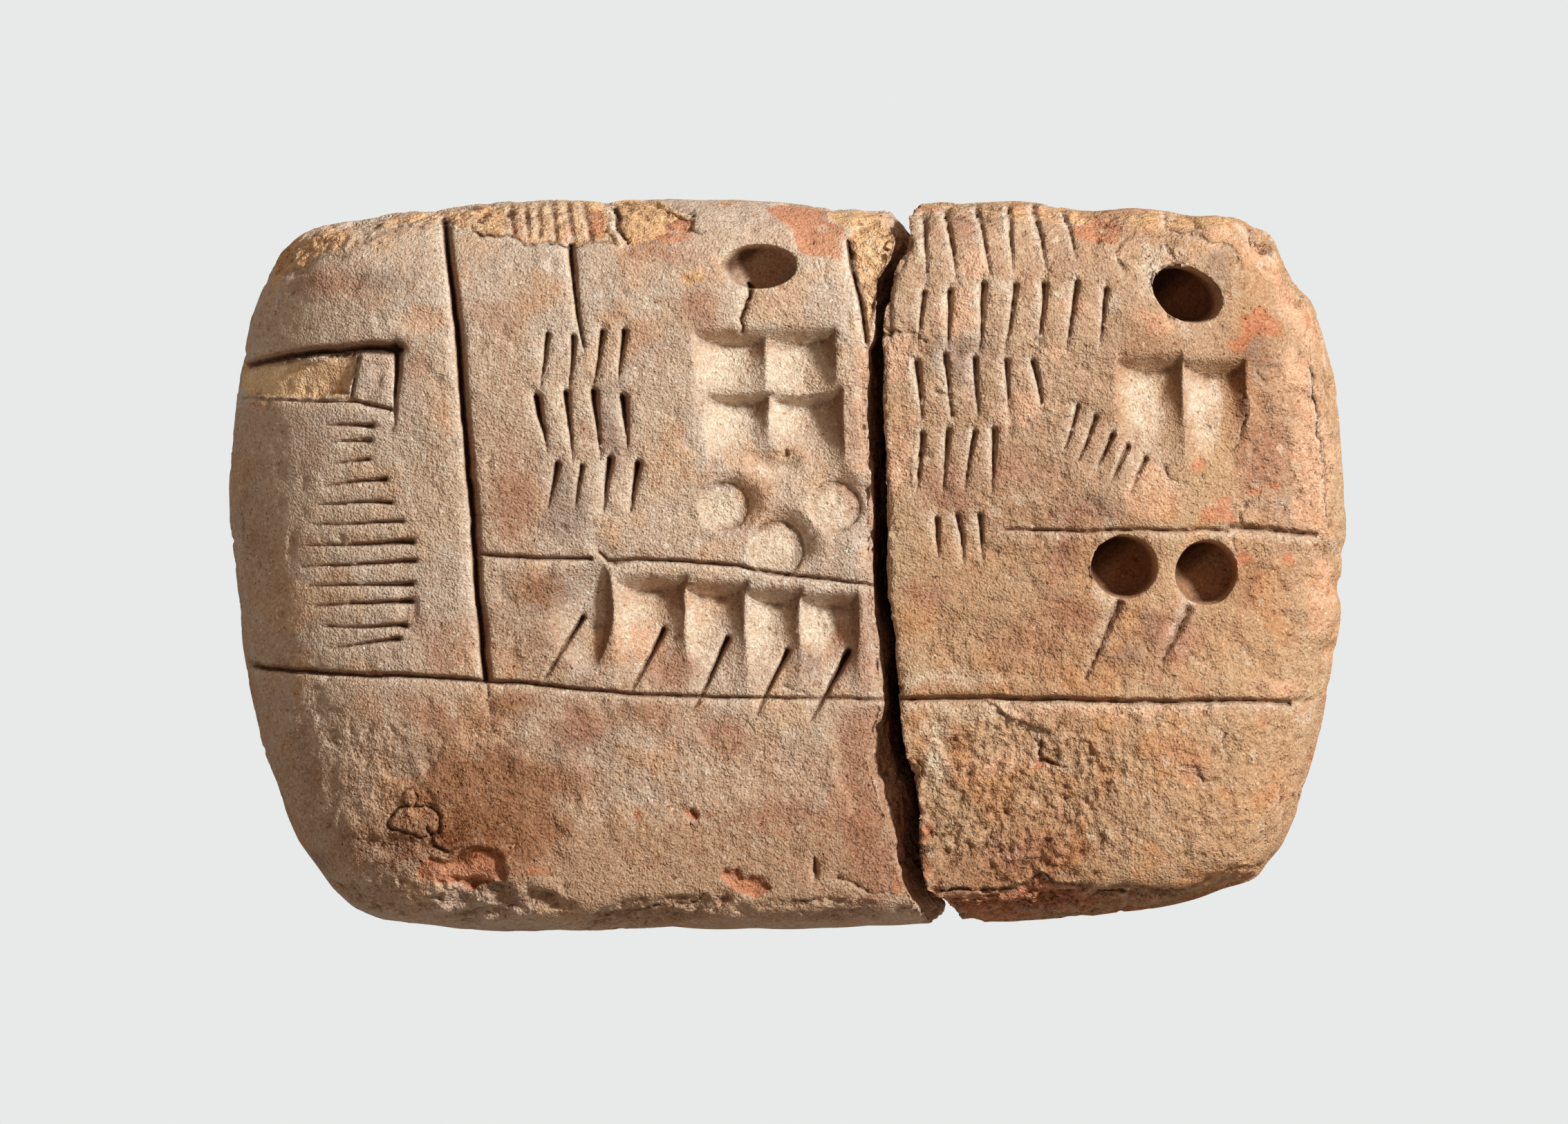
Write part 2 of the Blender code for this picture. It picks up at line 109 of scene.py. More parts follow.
# The break's two edges on the face, from the lower side of the tablet to the upper one, and
# how far the large fragment's wall bulges out below its edge.
LARGE_BREAK = [
    (8.3, -23.0), (8.1, -21.8), (7.9, -20.6), (7.2, -19.6), (7.0, -18.8), (6.7, -17.5), (6.3, -16.0),
    (6.0, -15.3), (5.7, -14.0), (5.4, -13.0), (5.1, -12.0), (5.15, -11.0), (5.3, -10.3), (5.6, -9.5),
    (5.9, -8.2), (5.8, -7.5), (5.6, -5.0), (5.3, -3.0), (5.2, -1.5), (5.15, 0.0), (5.2, 2.0),
    (5.2, 4.0), (5.1, 6.0), (4.95, 7.5), (4.9, 9.0), (4.95, 11.5), (5.0, 13.2), (5.35, 13.6),
    (5.4, 15.0), (5.5, 17.2), (6.2, 18.2), (6.6, 19.6), (6.4, 20.2), (6.0, 20.8), (5.3, 21.3),
    (4.2, 23.0),
]
LARGE_BULGE = [
    (0.3, -21.0), (0.5, -20.0), (0.35, -18.0), (0.7, -16.0), (1.0, -14.5), (1.1, -13.2), (1.0, -12.0),
    (0.7, -10.5), (0.3, -9.0), (0.05, -7.5), (0.0, 20.0),
]
SMALL_BREAK = [
    (11.2, -23.0), (10.3, -21.7), (9.8, -21.1), (9.3, -20.5), (8.8, -20.2), (8.4, -19.9),
    (8.2, -19.5), (8.0, -18.7), (7.8, -17.5), (7.75, -16.5), (7.8, -15.2), (7.8, -14.2), (7.5, -13.0),
    (7.2, -12.0), (7.05, -11.2), (6.85, -10.0), (6.75, -8.5), (6.6, -7.0), (6.4, -5.0), (6.15, -3.0),
    (6.0, -1.5), (5.95, 0.0), (5.95, 3.0), (5.85, 5.0), (5.8, 7.5), (5.75, 9.0), (5.7, 12.0),
    (5.65, 13.4), (5.75, 15.0), (6.0, 16.3), (6.2, 17.5), (6.6, 18.5), (7.0, 19.2), (7.2, 20.1),
    (6.9, 21.1), (6.9, 21.7), (7.2, 23.0),
]

# How far the walls of the break lean over for each mm below the face, how far they swing to and
# fro and how gritty they are, and the least room between them.
BREAK_LEAN = 0.1
BREAK_SWING = 0.5
BREAK_GRIT = 0.10
NARROWEST_BREAK = 0.12

# Deep stylus holes: middle, long and short radius, turn in degrees, depth, shift of the tip, and
# how strongly their inside is painted brown as shade.
HOLES = [
    ((-1.75, 18.1), 2.35, 1.48, -4, 2.5, (0.8, -0.4), 0.45),
    ((24.35, 16.35), 2.25, 1.58, -22, 3.8, (-0.7, -0.1), 0.95),
    ((20.45, -0.15), 2.02, 1.95, 0, 3.0, (-0.25, 0.05), 0.75),
    ((25.4, -0.5), 1.98, 1.92, 60, 2.7, (-0.2, 0.0), 0.60),
]

# The stylus: its tip and its upper end as shares of the hole's size, how far its tip is rounded,
# and how far its upper end stands above the face, in mm.
TIP_SHARE = 0.84
MOUTH_SHARE = 1.06
TIP_ROUNDING = 0.42
STYLUS_ABOVE = 1.6

# Shallow discs: middle, radius, depth at the middle, and how fast the floor sinks to +X and +Y.
DISCS = [
    ((-3.8, 3.55), 1.60, 0.50, 0.16, 0.08),
    ((2.9, 3.5), 1.60, 0.50, 0.16, 0.10),
    ((-0.65, 0.95), 1.75, 0.56, 0.16, 0.12),
]

# Long presses: middle of the head, width, length, depth at the head, lean in degrees, how far
# the deepest line lies to the right as a share of the half width, and run of the head wall.
SCOOPS = [
    ((-3.30, 14.30), 4.70, 5.9, 1.60, 1, 0.05, 1.08),
    ((0.65, 14.35), 4.60, 6.2, 1.55, 0, 0.10, 1.08),
    ((-2.95, 10.80), 4.20, 5.2, 1.80, 1, 0.05, 1.22),
    ((0.95, 10.80), 4.85, 6.4, 1.85, 2, 0.12, 1.22),
    ((-0.75, 7.95), 3.90, 3.4, 1.05, 0, 0.20, 1.75),
    ((-8.25, -0.60), 4.45, 7.6, 1.60, 2, 0.12, 1.05),
    ((-4.40, -0.95), 3.95, 7.6, 1.60, 2, 0.10, 1.05),
    ((-0.94, -1.30), 3.65, 7.2, 1.55, 1, 0.10, 1.05),
    ((2.45, -1.60), 3.80, 6.6, 1.50, 0, 0.15, 1.0),
    ((21.85, 12.70), 4.05, 7.8, 1.60, 3, 0.10, 1.08),
    ((25.75, 12.50), 3.95, 7.0, 1.60, 1, 0.12, 1.10),
]

# Lopsided bowls: middle, half sizes, turn, depth, and how far the deepest line lies to the right.
BOWLS = [
    ((-12.45, -3.0), (1.9, 3.3), -6, 0.95, 0.45),
]

# Ruled lines: points, then width and depth of the blade at the start, then at the end. Before
# them, how much wider and deeper the lines come out.
RULE_OPENS = np.array((1.4, 1.3))
RULES = [
    ([(-20.7, 20.8), (-20.35, 18.0), (-19.9, 14.4), (-19.6, 11.0), (-19.2, 6.0), (-18.9, 2.6),
      (-18.7, -1.0), (-18.3, -5.0), (-18.1, -6.9)], (0.6, 0.75), (0.62, 0.6)),
    ([(-18.1, -6.9), (-18.0, -8.6), (-17.9, -9.9)], (0.22, 0.16), (0.12, 0.05)),
    ([(-33.0, -6.1), (-30.0, -6.4), (-27.0, -6.65), (-23.0, -6.7), (-18.1, -7.05), (-15.0, -7.3),
      (-10.0, -7.75), (-5.0, -8.0), (1.5, -8.05), (5.9, -8.15)], (0.42, 0.5), (0.22, 0.26)),
    ([(-13.05, 19.3), (-12.85, 17.0), (-12.6, 15.2), (-12.3, 13.2)], (0.5, 0.6), (0.22, 0.25)),
    ([(-18.6, 0.62), (-17.0, 0.5), (-15.0, 0.35), (-11.9, 0.36)], (0.32, 0.36), (0.3, 0.34)),
    ([(-10.8, 0.2), (-9.0, 0.26), (-7.0, 0.3), (-5.0, 0.05), (-3.0, -0.05), (-2.0, -0.35),
      (0.0, -0.6), (3.0, -1.0), (5.3, -1.3)], (0.32, 0.36), (0.26, 0.3)),
    ([(3.75, 19.5), (4.0, 18.0), (4.35, 16.4), (4.6, 15.0), (4.8, 13.5)], (0.5, 0.6), (0.3, 0.4)),
    ([(6.7, -8.15), (13.0, -8.1), (20.0, -8.25), (25.0, -8.25), (29.6, -8.3)],
     (0.42, 0.5), (0.4, 0.45)),
    ([(30.4, -8.35), (29.4, -8.3), (31.9, -8.2)], (0.5, 0.6), (0.2, 0.15)),
    ([(6.0, 2.1), (8.3, 2.1)], (0.16, 0.12), (0.1, 0.06)),
    ([(13.2, 2.1), (15.0, 2.05), (18.0, 2.0), (21.5, 2.1), (26.7, 2.05)], (0.26, 0.3), (0.28, 0.32)),
    ([(26.9, 2.3), (28.0, 2.2), (30.0, 2.05), (32.0, 1.85)], (0.55, 0.4), (0.4, 0.45)),
    ([(-33.3, 11.95), (-32.0, 12.25), (-30.0, 12.7), (-28.0, 12.92), (-25.0, 13.05), (-23.5, 13.0)],
     (0.6, 0.5), (0.85, 0.7)),
    ([(-23.55, 13.1), (-23.5, 11.5), (-23.6, 10.0), (-23.65, 8.5)], (0.62, 0.7), (0.16, 0.2)),
    ([(-33.0, 10.05), (-28.0, 9.9), (-26.0, 9.85), (-23.9, 9.4)], (0.2, 0.15), (0.34, 0.36)),
    ([(-25.9, 12.6), (-26.15, 11.2), (-26.35, 10.1)], (0.3, 0.3), (0.2, 0.2)),
]

# Slanting tally strokes: deep head, light tail, width and depth of the blade at the head. Before
# them, how much wider and deeper the strokes come out, and their width and depth at the tail.
TALLY_OPENS = np.array((1.3, 1.2))
TALLY_TAIL = (0.28, 0.2)
TALLY = [
    ((-12.3, -3.2), (-14.7, -7.0), (0.40, 0.6)),
    ((-7.4, -3.9), (-9.4, -7.7), (0.42, 0.65)),
    ((-3.6, -4.5), (-5.6, -8.7), (0.46, 0.7)),
    ((0.1, -5.2), (-1.9, -9.1), (0.44, 0.65)),
    ((3.85, -5.3), (1.4, -9.5), (0.62, 0.85)),
    ((20.1, -2.3), (18.1, -6.9), (0.66, 0.5)),
    ((24.25, -2.8), (22.75, -5.9), (0.75, 0.45)),
]

# Ranks of shallow strokes: middle of the first stroke, step to the next, count, reach of a stroke
# from tail to head, extra length of the middle ones, and width. Before them, how much wider a
# stroke comes out, its depth at the head for its width, its width and depth at the tail, how unlike
# each other the strokes are in place, length, slant and width, and the seed of that.
RANK_OPENS = 1.3
RANK_DEPTH = 1.2
RANK_TAIL = (0.2, 0.16)
RANK_SLIPS = (0.10, 0.12, 0.10, 0.18)
RANK_SEED = 900
RANKS = [
    ((-26.4, 8.5), (0.0, -1.1), 3, (2.5, 0.15), 0.0, 0.36),
    ((-26.2, 4.9), (0.08, -1.22), 9, (3.3, 0.15), 3.4, 0.38),
    ((-14.6, 12.2), (1.55, 0.1), 4, (0.3, 2.7), 0.5, 0.46),
    ((-14.7, 8.4), (1.65, 0.05), 4, (-0.3, 3.0), 0.7, 0.56),
    ((-14.1, 4.7), (1.6, 0.0), 4, (0.35, 2.5), 0.5, 0.5),
    ((8.3, 19.2), (1.75, 0.2), 6, (-0.5, 3.6), 0.5, 0.5),
    ((8.0, 14.8), (1.85, 0.05), 7, (0.5, 3.4), 0.4, 0.5),
    ((8.0, 10.6), (1.8, 0.05), 5, (-0.4, 3.2), 0.5, 0.48),
    ((17.2, 8.2), (0.98, -0.74), 5, (0.9, 2.2), 0.2, 0.4),
    ((8.0, 6.2), (1.5, 0.0), 4, (0.35, 3.2), 0.6, 0.5),
    ((9.2, 1.6), (1.3, 0.0), 3, (-0.25, 2.4), 0.2, 0.42),
]

# Cracks: points, width and depth. At its end a crack keeps CRACK_END of its width and depth.
CRACK_END = np.array((0.7, 0.6))
CRACKS = [
    ([(-2.35, 16.8), (-2.45, 15.6), (-2.6, 14.9), (-2.5, 14.2)], 0.46, 0.7),
    ([(-5.8, 21.4), (-5.75, 20.7), (-5.85, 20.1), (-5.0, 20.1)], 0.2, 0.3),
    ([(-24.6, 21.1), (-23.0, 21.0), (-20.6, 21.25), (-19.0, 21.1), (-17.6, 20.9)], 0.16, 0.2),
    ([(-19.2, 20.45), (-17.5, 20.0), (-16.0, 19.65), (-14.0, 19.35), (-13.0, 19.3), (-10.2, 19.35)],
     0.3, 0.4),
    ([(-33.4, 3.0), (-33.1, 1.9), (-32.8, 0.8)], 0.14, 0.15),
    ([(-26.2, 16.7), (-25.6, 16.5), (-24.8, 16.5)], 0.13, 0.12),
    ([(-21.7, -16.1), (-21.3, -16.9), (-20.4, -17.3), (-19.5, -17.2)], 0.28, 0.3),
    ([(-18.55, 14.6), (-18.5, 12.3)], 0.12, 0.08),
    ([(2.1, 18.6), (2.2, 17.3), (2.5, 16.4)], 0.16, 0.2),
    ([(1.0, 11.4), (1.2, 10.6), (1.45, 10.2)], 0.14, 0.15),
    ([(2.6, 13.5), (3.4, 13.6), (4.2, 13.5)], 0.12, 0.12),
    ([(3.3, 9.4), (3.7, 10.2), (4.0, 11.2)], 0.14, 0.12),
    ([(3.0, -19.2), (4.5, -19.5), (5.0, -19.9), (6.5, -20.1)], 0.2, 0.25),
    ([(1.0, -20.3), (3.5, -20.3)], 0.16, 0.2),
    ([(-12.2, -22.0), (-10.8, -21.5), (-9.4, -20.9), (-7.5, -20.7), (-5.0, -20.1)], 0.24, 0.3),
    ([(1.65, -17.8), (1.6, -18.4), (1.7, -19.0)], 0.3, 0.35),
    ([(-20.9, -10.0), (-21.0, -11.4), (-21.3, -12.0), (-22.0, -13.2), (-22.6, -14.0)], 0.14, 0.14),
    ([(0.0, -7.2), (0.4, -7.6), (1.4, -7.95)], 0.24, 0.2),
    ([(8.3, 18.6), (9.0, 18.35), (9.6, 18.2)], 0.16, 0.2),
    ([(8.6, 10.5), (10.4, 10.0), (10.8, 9.7), (11.4, 9.6)], 0.18, 0.2),
    ([(15.4, 13.5), (15.2, 12.8)], 0.16, 0.2),
    ([(9.4, -19.75), (11.0, -19.8), (12.4, -19.6), (13.6, -19.35), (15.3, -18.75), (15.9, -19.3),
      (18.0, -19.5)], 0.34, 0.6),
    ([(18.6, -19.7), (20.6, -19.95), (22.4, -20.1), (24.6, -19.9), (27.2, -19.1)], 0.26, 0.45),
    ([(14.0, -20.4), (15.4, -20.7), (16.6, -20.4), (17.4, -20.8)], 0.26, 0.4),
    ([(5.4, 13.9), (6.6, 14.05), (7.6, 13.95), (8.3, 13.6)], 0.3, 0.4),
    ([(14.6, 5.6), (14.7, 4.6)], 0.2, 0.2),
    ([(22.7, 21.5), (23.1, 20.5), (25.0, 19.95), (26.0, 19.5), (27.2, 19.0)], 0.2, 0.3),
    ([(24.9, 21.2), (24.7, 20.0)], 0.14, 0.2),
    ([(27.9, 20.1), (28.6, 19.8), (29.2, 19.3), (29.4, 18.8)], 0.6, 0.9),
    ([(23.15, 19.5), (23.25, 18.9), (23.5, 18.2)], 0.2, 0.25),
    ([(20.1, 19.0), (20.6, 19.8), (21.2, 20.6)], 0.26, 0.3),
    ([(20.1, 18.5), (20.3, 17.7), (20.6, 17.3)], 0.2, 0.2),
    ([(28.45, 11.9), (28.7, 11.3), (29.1, 10.8)], 0.16, 0.2),
    ([(27.8, 10.0), (27.8, 9.0), (27.3, 7.4), (26.8, 7.0)], 0.18, 0.25),
    ([(28.4, 7.6), (28.15, 7.0), (28.1, 6.2)], 0.16, 0.2),
    ([(32.0, 12.2), (32.1, 10.5), (32.4, 9.6), (32.3, 8.6), (32.5, 6.0), (32.6, 4.0), (32.9, 2.2)],
     0.2, 0.35),
    ([(32.7, 11.8), (33.0, 10.0)], 0.14, 0.2),
    ([(22.7, 6.2), (23.0, 5.7), (23.3, 5.2), (24.3, 4.9)], 0.16, 0.2),
    ([(28.1, 4.0), (27.6, 3.2), (27.6, 2.5), (27.0, 2.0), (26.9, 1.4), (27.3, 0.4)], 0.18, 0.25),
    ([(27.0, 4.5), (27.8, 4.1), (28.2, 3.9)], 0.12, 0.12),
    ([(24.0, -5.0), (24.6, -5.6), (25.3, -6.0)], 0.16, 0.15),
    ([(12.0, -8.4), (13.3, -9.2), (14.4, -9.7), (15.3, -10.1), (15.8, -10.2)], 0.2, 0.25),
    ([(15.3, -10.3), (15.2, -11.2), (15.6, -11.6), (16.0, -11.9), (17.0, -12.2), (17.6, -11.9)],
     0.24, 0.3),
    ([(26.0, -9.9), (26.4, -10.5), (26.5, -11.0), (26.8, -11.5)], 0.22, 0.25),
    ([(23.9, -12.1), (24.9, -12.5), (25.3, -13.0), (26.3, -13.1)], 0.2, 0.22),
    ([(30.2, -13.4), (29.5, -14.6), (29.1, -15.6), (29.0, -16.6)], 0.16, 0.22),
    ([(30.2, -15.2), (30.0, -16.5)], 0.14, 0.16),
    ([(20.9, -10.1), (21.4, -10.6)], 0.16, 0.18),
    ([(21.3, -14.7), (22.2, -14.75), (23.0, -14.9)], 0.12, 0.12),
    ([(17.3, -15.4), (17.9, -14.9), (18.6, -15.0)], 0.16, 0.16),
    ([(11.3, -16.6), (12.0, -16.2), (12.6, -16.9)], 0.16, 0.16),
    ([(13.5, -0.6), (14.0, -1.0), (15.0, -1.2)], 0.16, 0.15),
    ([(12.7, -6.4), (13.6, -6.6)], 0.12, 0.1),
]

# Edges where a thin layer has come away: points with the lower side on the left as they run,
# drop and how far the lowered ground reaches.
STEPS = [
    ([(2.2, -10.6), (3.0, -11.3), (2.9, -12.4), (3.1, -13.0), (3.8, -14.0), (3.9, -15.5)], 0.14, 1.6),
    ([(-21.5, -16.0), (-21.5, -16.6), (-20.4, -17.4), (-19.3, -17.3)], -0.2, 0.8),
    ([(12.2, -8.5), (13.4, -9.3), (15.2, -10.2), (15.2, -11.2), (16.0, -11.9)], -0.16, 1.4),
    ([(26.0, -9.8), (26.5, -11.0), (26.3, -12.6), (25.6, -13.1), (24.8, -12.5), (23.8, -12.1)],
     0.15, 1.2),
    ([(24.2, -19.6), (25.4, -19.0), (27.4, -19.0), (28.3, -18.9)], -0.25, 0.9),
    ([(7.4, 19.4), (8.1, 20.3), (9.2, 20.9), (10.4, 21.2)], 0.25, 1.2),
    ([(12.8, 21.4), (15.2, 21.2), (17.2, 20.9)], 0.2, 0.9),
    ([(31.3, 15.7), (31.9, 14.6), (32.3, 13.2), (32.5, 12.4)], 0.4, 0.5),
    ([(33.1, 2.4), (33.4, 1.6), (33.8, 1.1)], 0.4, 0.6),
    ([(8.9, 6.9), (7.9, 6.8), (7.6, 5.6), (8.0, 4.9)], 0.2, 0.8),
]

# Flakes that have come off the skin: the colour of the ground under them, the drop, how lumpy
# the ground is, and the corners.
FLAKES = [
    ("ochre", 0.34, 0.6, [(-32.8, 15.4), (-31.0, 16.5), (-30.2, 17.7), (-29.1, 18.2), (-28.5, 18.8),
     (-27.2, 19.1), (-26.6, 19.9), (-25.2, 20.4), (-22.6, 20.7), (-20.9, 20.8), (-19.8, 20.5),
     (-16.9, 21.1), (-16.9, 23.0), (-26.0, 23.0), (-32.5, 19.0)]),
    ("ochre", 0.30, 0.5, [(-19.8, 20.5), (-17.5, 20.0), (-15.2, 19.6), (-13.2, 19.4), (-10.2, 19.4),
     (-10.7, 20.6), (-11.3, 23.0), (-17.0, 23.0), (-16.9, 21.1)]),
    ("ochre", 0.32, 0.9, [(-10.0, 19.5), (-8.9, 19.3), (-7.3, 19.8), (-5.9, 20.0), (-5.8, 21.1),
     (-6.9, 21.4), (-8.0, 22.0), (-8.3, 23.0), (-10.8, 23.0), (-10.4, 21.0)]),
    ("rust", 0.45, 0.5, [(-7.4, 19.9), (-6.3, 19.9), (-5.75, 20.1), (-5.85, 21.0), (-6.7, 20.8),
     (-7.2, 20.6)]),
    ("rust", 0.12, 0.5, [(-4.3, 21.8), (-1.8, 21.7), (-0.9, 21.1), (0.2, 20.4), (0.5, 19.4),
     (0.9, 18.7), (1.8, 18.6), (3.3, 18.5), (3.6, 19.2), (3.5, 20.2), (2.4, 20.8), (2.4, 21.5),
     (1.3, 22.4), (-0.6, 22.0), (-1.5, 22.0), (-3.2, 22.2)]),
    ("ochre", 0.10, 0.8, [(3.6, 20.2), (5.2, 20.5), (6.4, 21.0), (6.9, 22.4), (2.4, 22.4),
     (2.5, 20.8)]),
    ("ochre", 0.50, 0.45, [(-34.6, 12.2), (-32.0, 12.1), (-29.0, 12.4), (-26.2, 12.7), (-26.3, 11.4),
     (-26.5, 10.1), (-29.0, 10.0), (-34.6, 10.1)]),
    ("rust", 0.38, 0.8, [(-22.4, -18.4), (-21.8, -17.9), (-20.9, -17.8), (-20.1, -17.5), (-19.2, -17.2),
     (-18.2, -17.1), (-17.3, -17.5), (-17.1, -18.2), (-17.1, -19.1), (-18.2, -19.4), (-19.2, -19.8),
     (-19.7, -19.3), (-20.6, -19.3), (-21.6, -19.2), (-22.3, -18.9)]),
    ("rust", 0.30, 0.8, [(-6.4, -14.7), (-5.8, -14.5), (-5.4, -14.9), (-5.6, -15.4), (-6.1, -15.2)]),
    ("rust", 0.30, 0.8, [(-4.3, -18.6), (-3.6, -18.2), (-3.0, -18.5), (-2.9, -19.0), (-1.8, -18.9),
     (-1.2, -19.6), (-1.9, -20.1), (-3.0, -19.8), (-3.6, -19.2)]),
    ("blush", 0.05, 0.3, [(5.9, -8.3), (4.2, -8.6), (2.9, -9.2), (2.6, -9.9), (3.0, -10.6),
     (3.3, -12.0), (3.1, -13.0), (3.9, -14.1), (4.6, -14.5), (5.4, -15.6), (6.6, -15.6),
     (6.0, -11.0)]),
    ("ochre", 0.34, 0.8, [(3.75, 19.8), (4.1, 18.4), (4.4, 16.8), (4.75, 14.8), (4.85, 13.6),
     (5.6, 13.4), (6.4, 17.0), (7.2, 19.6), (6.6, 20.8), (5.0, 21.2)]),
    ("salmon", 0.16, 0.8, [(5.6, 14.0), (6.5, 13.9), (7.7, 13.8), (7.6, 12.6), (7.2, 11.4), (6.4, 10.9),
     (5.4, 11.2)]),
    ("salmon", 0.16, 0.8, [(5.4, 8.0), (6.4, 8.3), (7.6, 8.2), (8.1, 7.4), (7.5, 6.4), (7.6, 5.3),
     (6.5, 4.4), (5.4, 4.2)]),
    ("salmon", 0.14, 0.5, [(25.2, 20.1), (27.2, 19.3), (28.3, 18.3), (29.3, 17.2), (29.9, 15.8),
     (30.6, 14.4), (31.2, 13.2), (32.6, 12.6), (33.0, 15.0), (31.4, 18.0), (29.6, 21.4), (27.0, 20.5)]),
    ("salmon", 0.05, 0.4, [(30.2, 13.0), (30.1, 11.4), (30.9, 9.8), (31.6, 9.2), (32.2, 9.6),
     (31.9, 10.9), (31.6, 12.6)]),
    ("rust", 0.10, 0.6, [(27.3, 15.2), (28.2, 15.2), (29.0, 15.7), (29.3, 14.9), (30.0, 14.4),
     (30.1, 13.7), (28.6, 13.9), (28.0, 13.4), (27.8, 12.7), (27.0, 12.9), (26.7, 13.4), (27.6, 14.0)]),
    ("salmon", 0.06, 0.4, [(20.5, 4.6), (21.0, 5.4), (21.9, 6.4), (22.8, 6.2), (23.2, 5.3), (23.9, 4.9),
     (23.7, 3.6), (22.6, 3.0), (21.2, 2.9), (20.5, 3.4)]),
    ("rust", 0.03, 0.4, [(24.4, 6.3), (25.0, 6.4), (25.3, 5.9), (25.1, 5.3), (24.6, 5.2)]),
    ("rust", 0.03, 0.4, [(28.0, 4.7), (28.5, 5.0), (28.8, 4.8), (28.5, 4.2), (28.0, 4.3)]),
    ("rust", 0.10, 0.5, [(17.9, 20.8), (19.2, 21.0), (20.0, 20.5), (20.2, 19.5), (19.6, 19.2),
     (18.9, 19.3), (17.2, 20.0)]),
    ("salmon", 0.06, 0.5, [(11.0, 19.2), (12.3, 19.2), (12.5, 17.6), (11.6, 17.2), (10.7, 17.8)]),
    ("rust", 0.45, 0.8, [(7.6, 21.3), (8.8, 21.5), (9.9, 21.6), (9.9, 22.4), (7.6, 22.4)]),
    ("rust", 0.22, 0.6, [(12.6, 21.6), (14.4, 21.4), (16.5, 21.2), (16.5, 22.4), (12.6, 22.4)]),
    ("rust", 0.60, 0.9, [(28.2, 20.3), (28.4, 19.6), (29.0, 19.0), (29.6, 18.9), (30.2, 19.4),
     (29.2, 21.0)]),
    ("rust", 0.30, 0.9, [(15.3, -11.6), (16.0, -11.7), (16.3, -12.0), (15.6, -12.3), (14.6, -12.5)]),
    ("rust", 0.12, 0.6, [(7.4, -15.4), (8.5, -15.6), (8.8, -16.2), (8.4, -17.0), (7.4, -16.9)]),
    ("rust", 0.55, 1.0, [(8.4, -19.6), (10.5, -19.8), (12.4, -19.7), (13.5, -19.4), (14.4, -19.1),
     (15.3, -18.8), (15.6, -19.3), (16.6, -19.4), (18.4, -19.6), (20.6, -19.9), (23.6, -20.3),
     (25.0, -19.8), (27.0, -19.2), (29.0, -18.8), (29.0, -22.5), (9.0, -22.5)]),
]

# Places where the surface is broken, lumpy or pitted: middle, half sizes, turn, how deep the
# ground is torn, and grain.
TORN = [
    ((-20.4, -20.2), (6.5, 1.3), -2, 0.90, 1.1),
    ((-23.6, -18.0), (2.4, 1.8), -20, 0.40, 1.2),
    ((-8.0, -21.0), (4.5, 0.9), 10, 0.8, 1.0),
    ((1.5, -20.9), (5.5, 0.7), 0, 0.4, 0.9),
    ((4.9, 16.6), (0.55, 2.8), -4, 0.5, 0.8),
    ((5.2, 19.6), (1.4, 1.6), -20, 0.5, 0.9),
    ((14.0, -14.5), (6.5, 5.5), 10, 0.62, 0.6),
    ((10.4, -12.6), (3.0, 4.2), 0, 0.45, 0.6),
    ((23.0, -13.0), (8.5, 6.0), 0, 0.30, 0.6),
    ((19.0, -5.0), (11.0, 2.5), 0, 0.26, 0.7),
    ((16.0, 1.2), (5.0, 2.4), 0, 0.24, 0.8),
    ((7.6, -12.4), (0.7, 0.9), 0, 0.6, 0.7),
    ((26.8, 17.4), (1.0, 1.6), 10, 0.4, 0.8),
    ((28.9, 19.7), (0.9, 0.8), -45, 1.60, 0.7),
    ((30.6, 17.0), (0.7, 1.8), 25, 0.70, 0.6),
    ((18.9, 19.6), (0.35, 0.45), 30, 0.6, 0.5),
    ((31.1, 4.1), (0.45, 0.45), 0, 0.45, 0.5),
    ((-0.2, 6.7), (0.35, 0.3), 0, 0.3, 0.4),
    ((12.0, 12.0), (7.0, 10.0), 0, 0.20, 0.9),
    ((30.4, 3.0), (3.0, 13.0), 0, 0.40, 0.9),
    ((22.0, 19.6), (4.0, 2.0), 0, 0.35, 0.8),
    ((17.0, -20.6), (8.6, 1.0), 3, 1.20, 0.7),
    ((10.5, 21.5), (3.8, 0.8), 0, 0.55, 0.6),
    ((17.5, 21.1), (3.6, 0.7), -6, 0.40, 0.6),
    ((-28.0, 19.6), (4.5, 1.2), 25, 0.55, 0.8),
    ((-9.0, 21.4), (3.0, 0.9), -6, 0.45, 0.6),
    ((26.6, -19.4), (3.0, 0.8), 18, 0.50, 0.6),
    ((-31.5, -6.0), (1.6, 12.0), 4, 0.14, 0.9),
    ((-26.0, -12.6), (5.0, 3.4), -20, 0.36, 1.2),
    ((-17.0, -14.0), (4.6, 4.0), 0, 0.26, 1.0),
    ((-6.0, -14.0), (9.0, 6.0), 0, 0.14, 0.9),
    ((-19.6, 21.0), (4.2, 0.9), 4, 0.60, 0.5),
    ((-13.8, 20.9), (3.2, 1.2), 0, 0.30, 0.5),
]

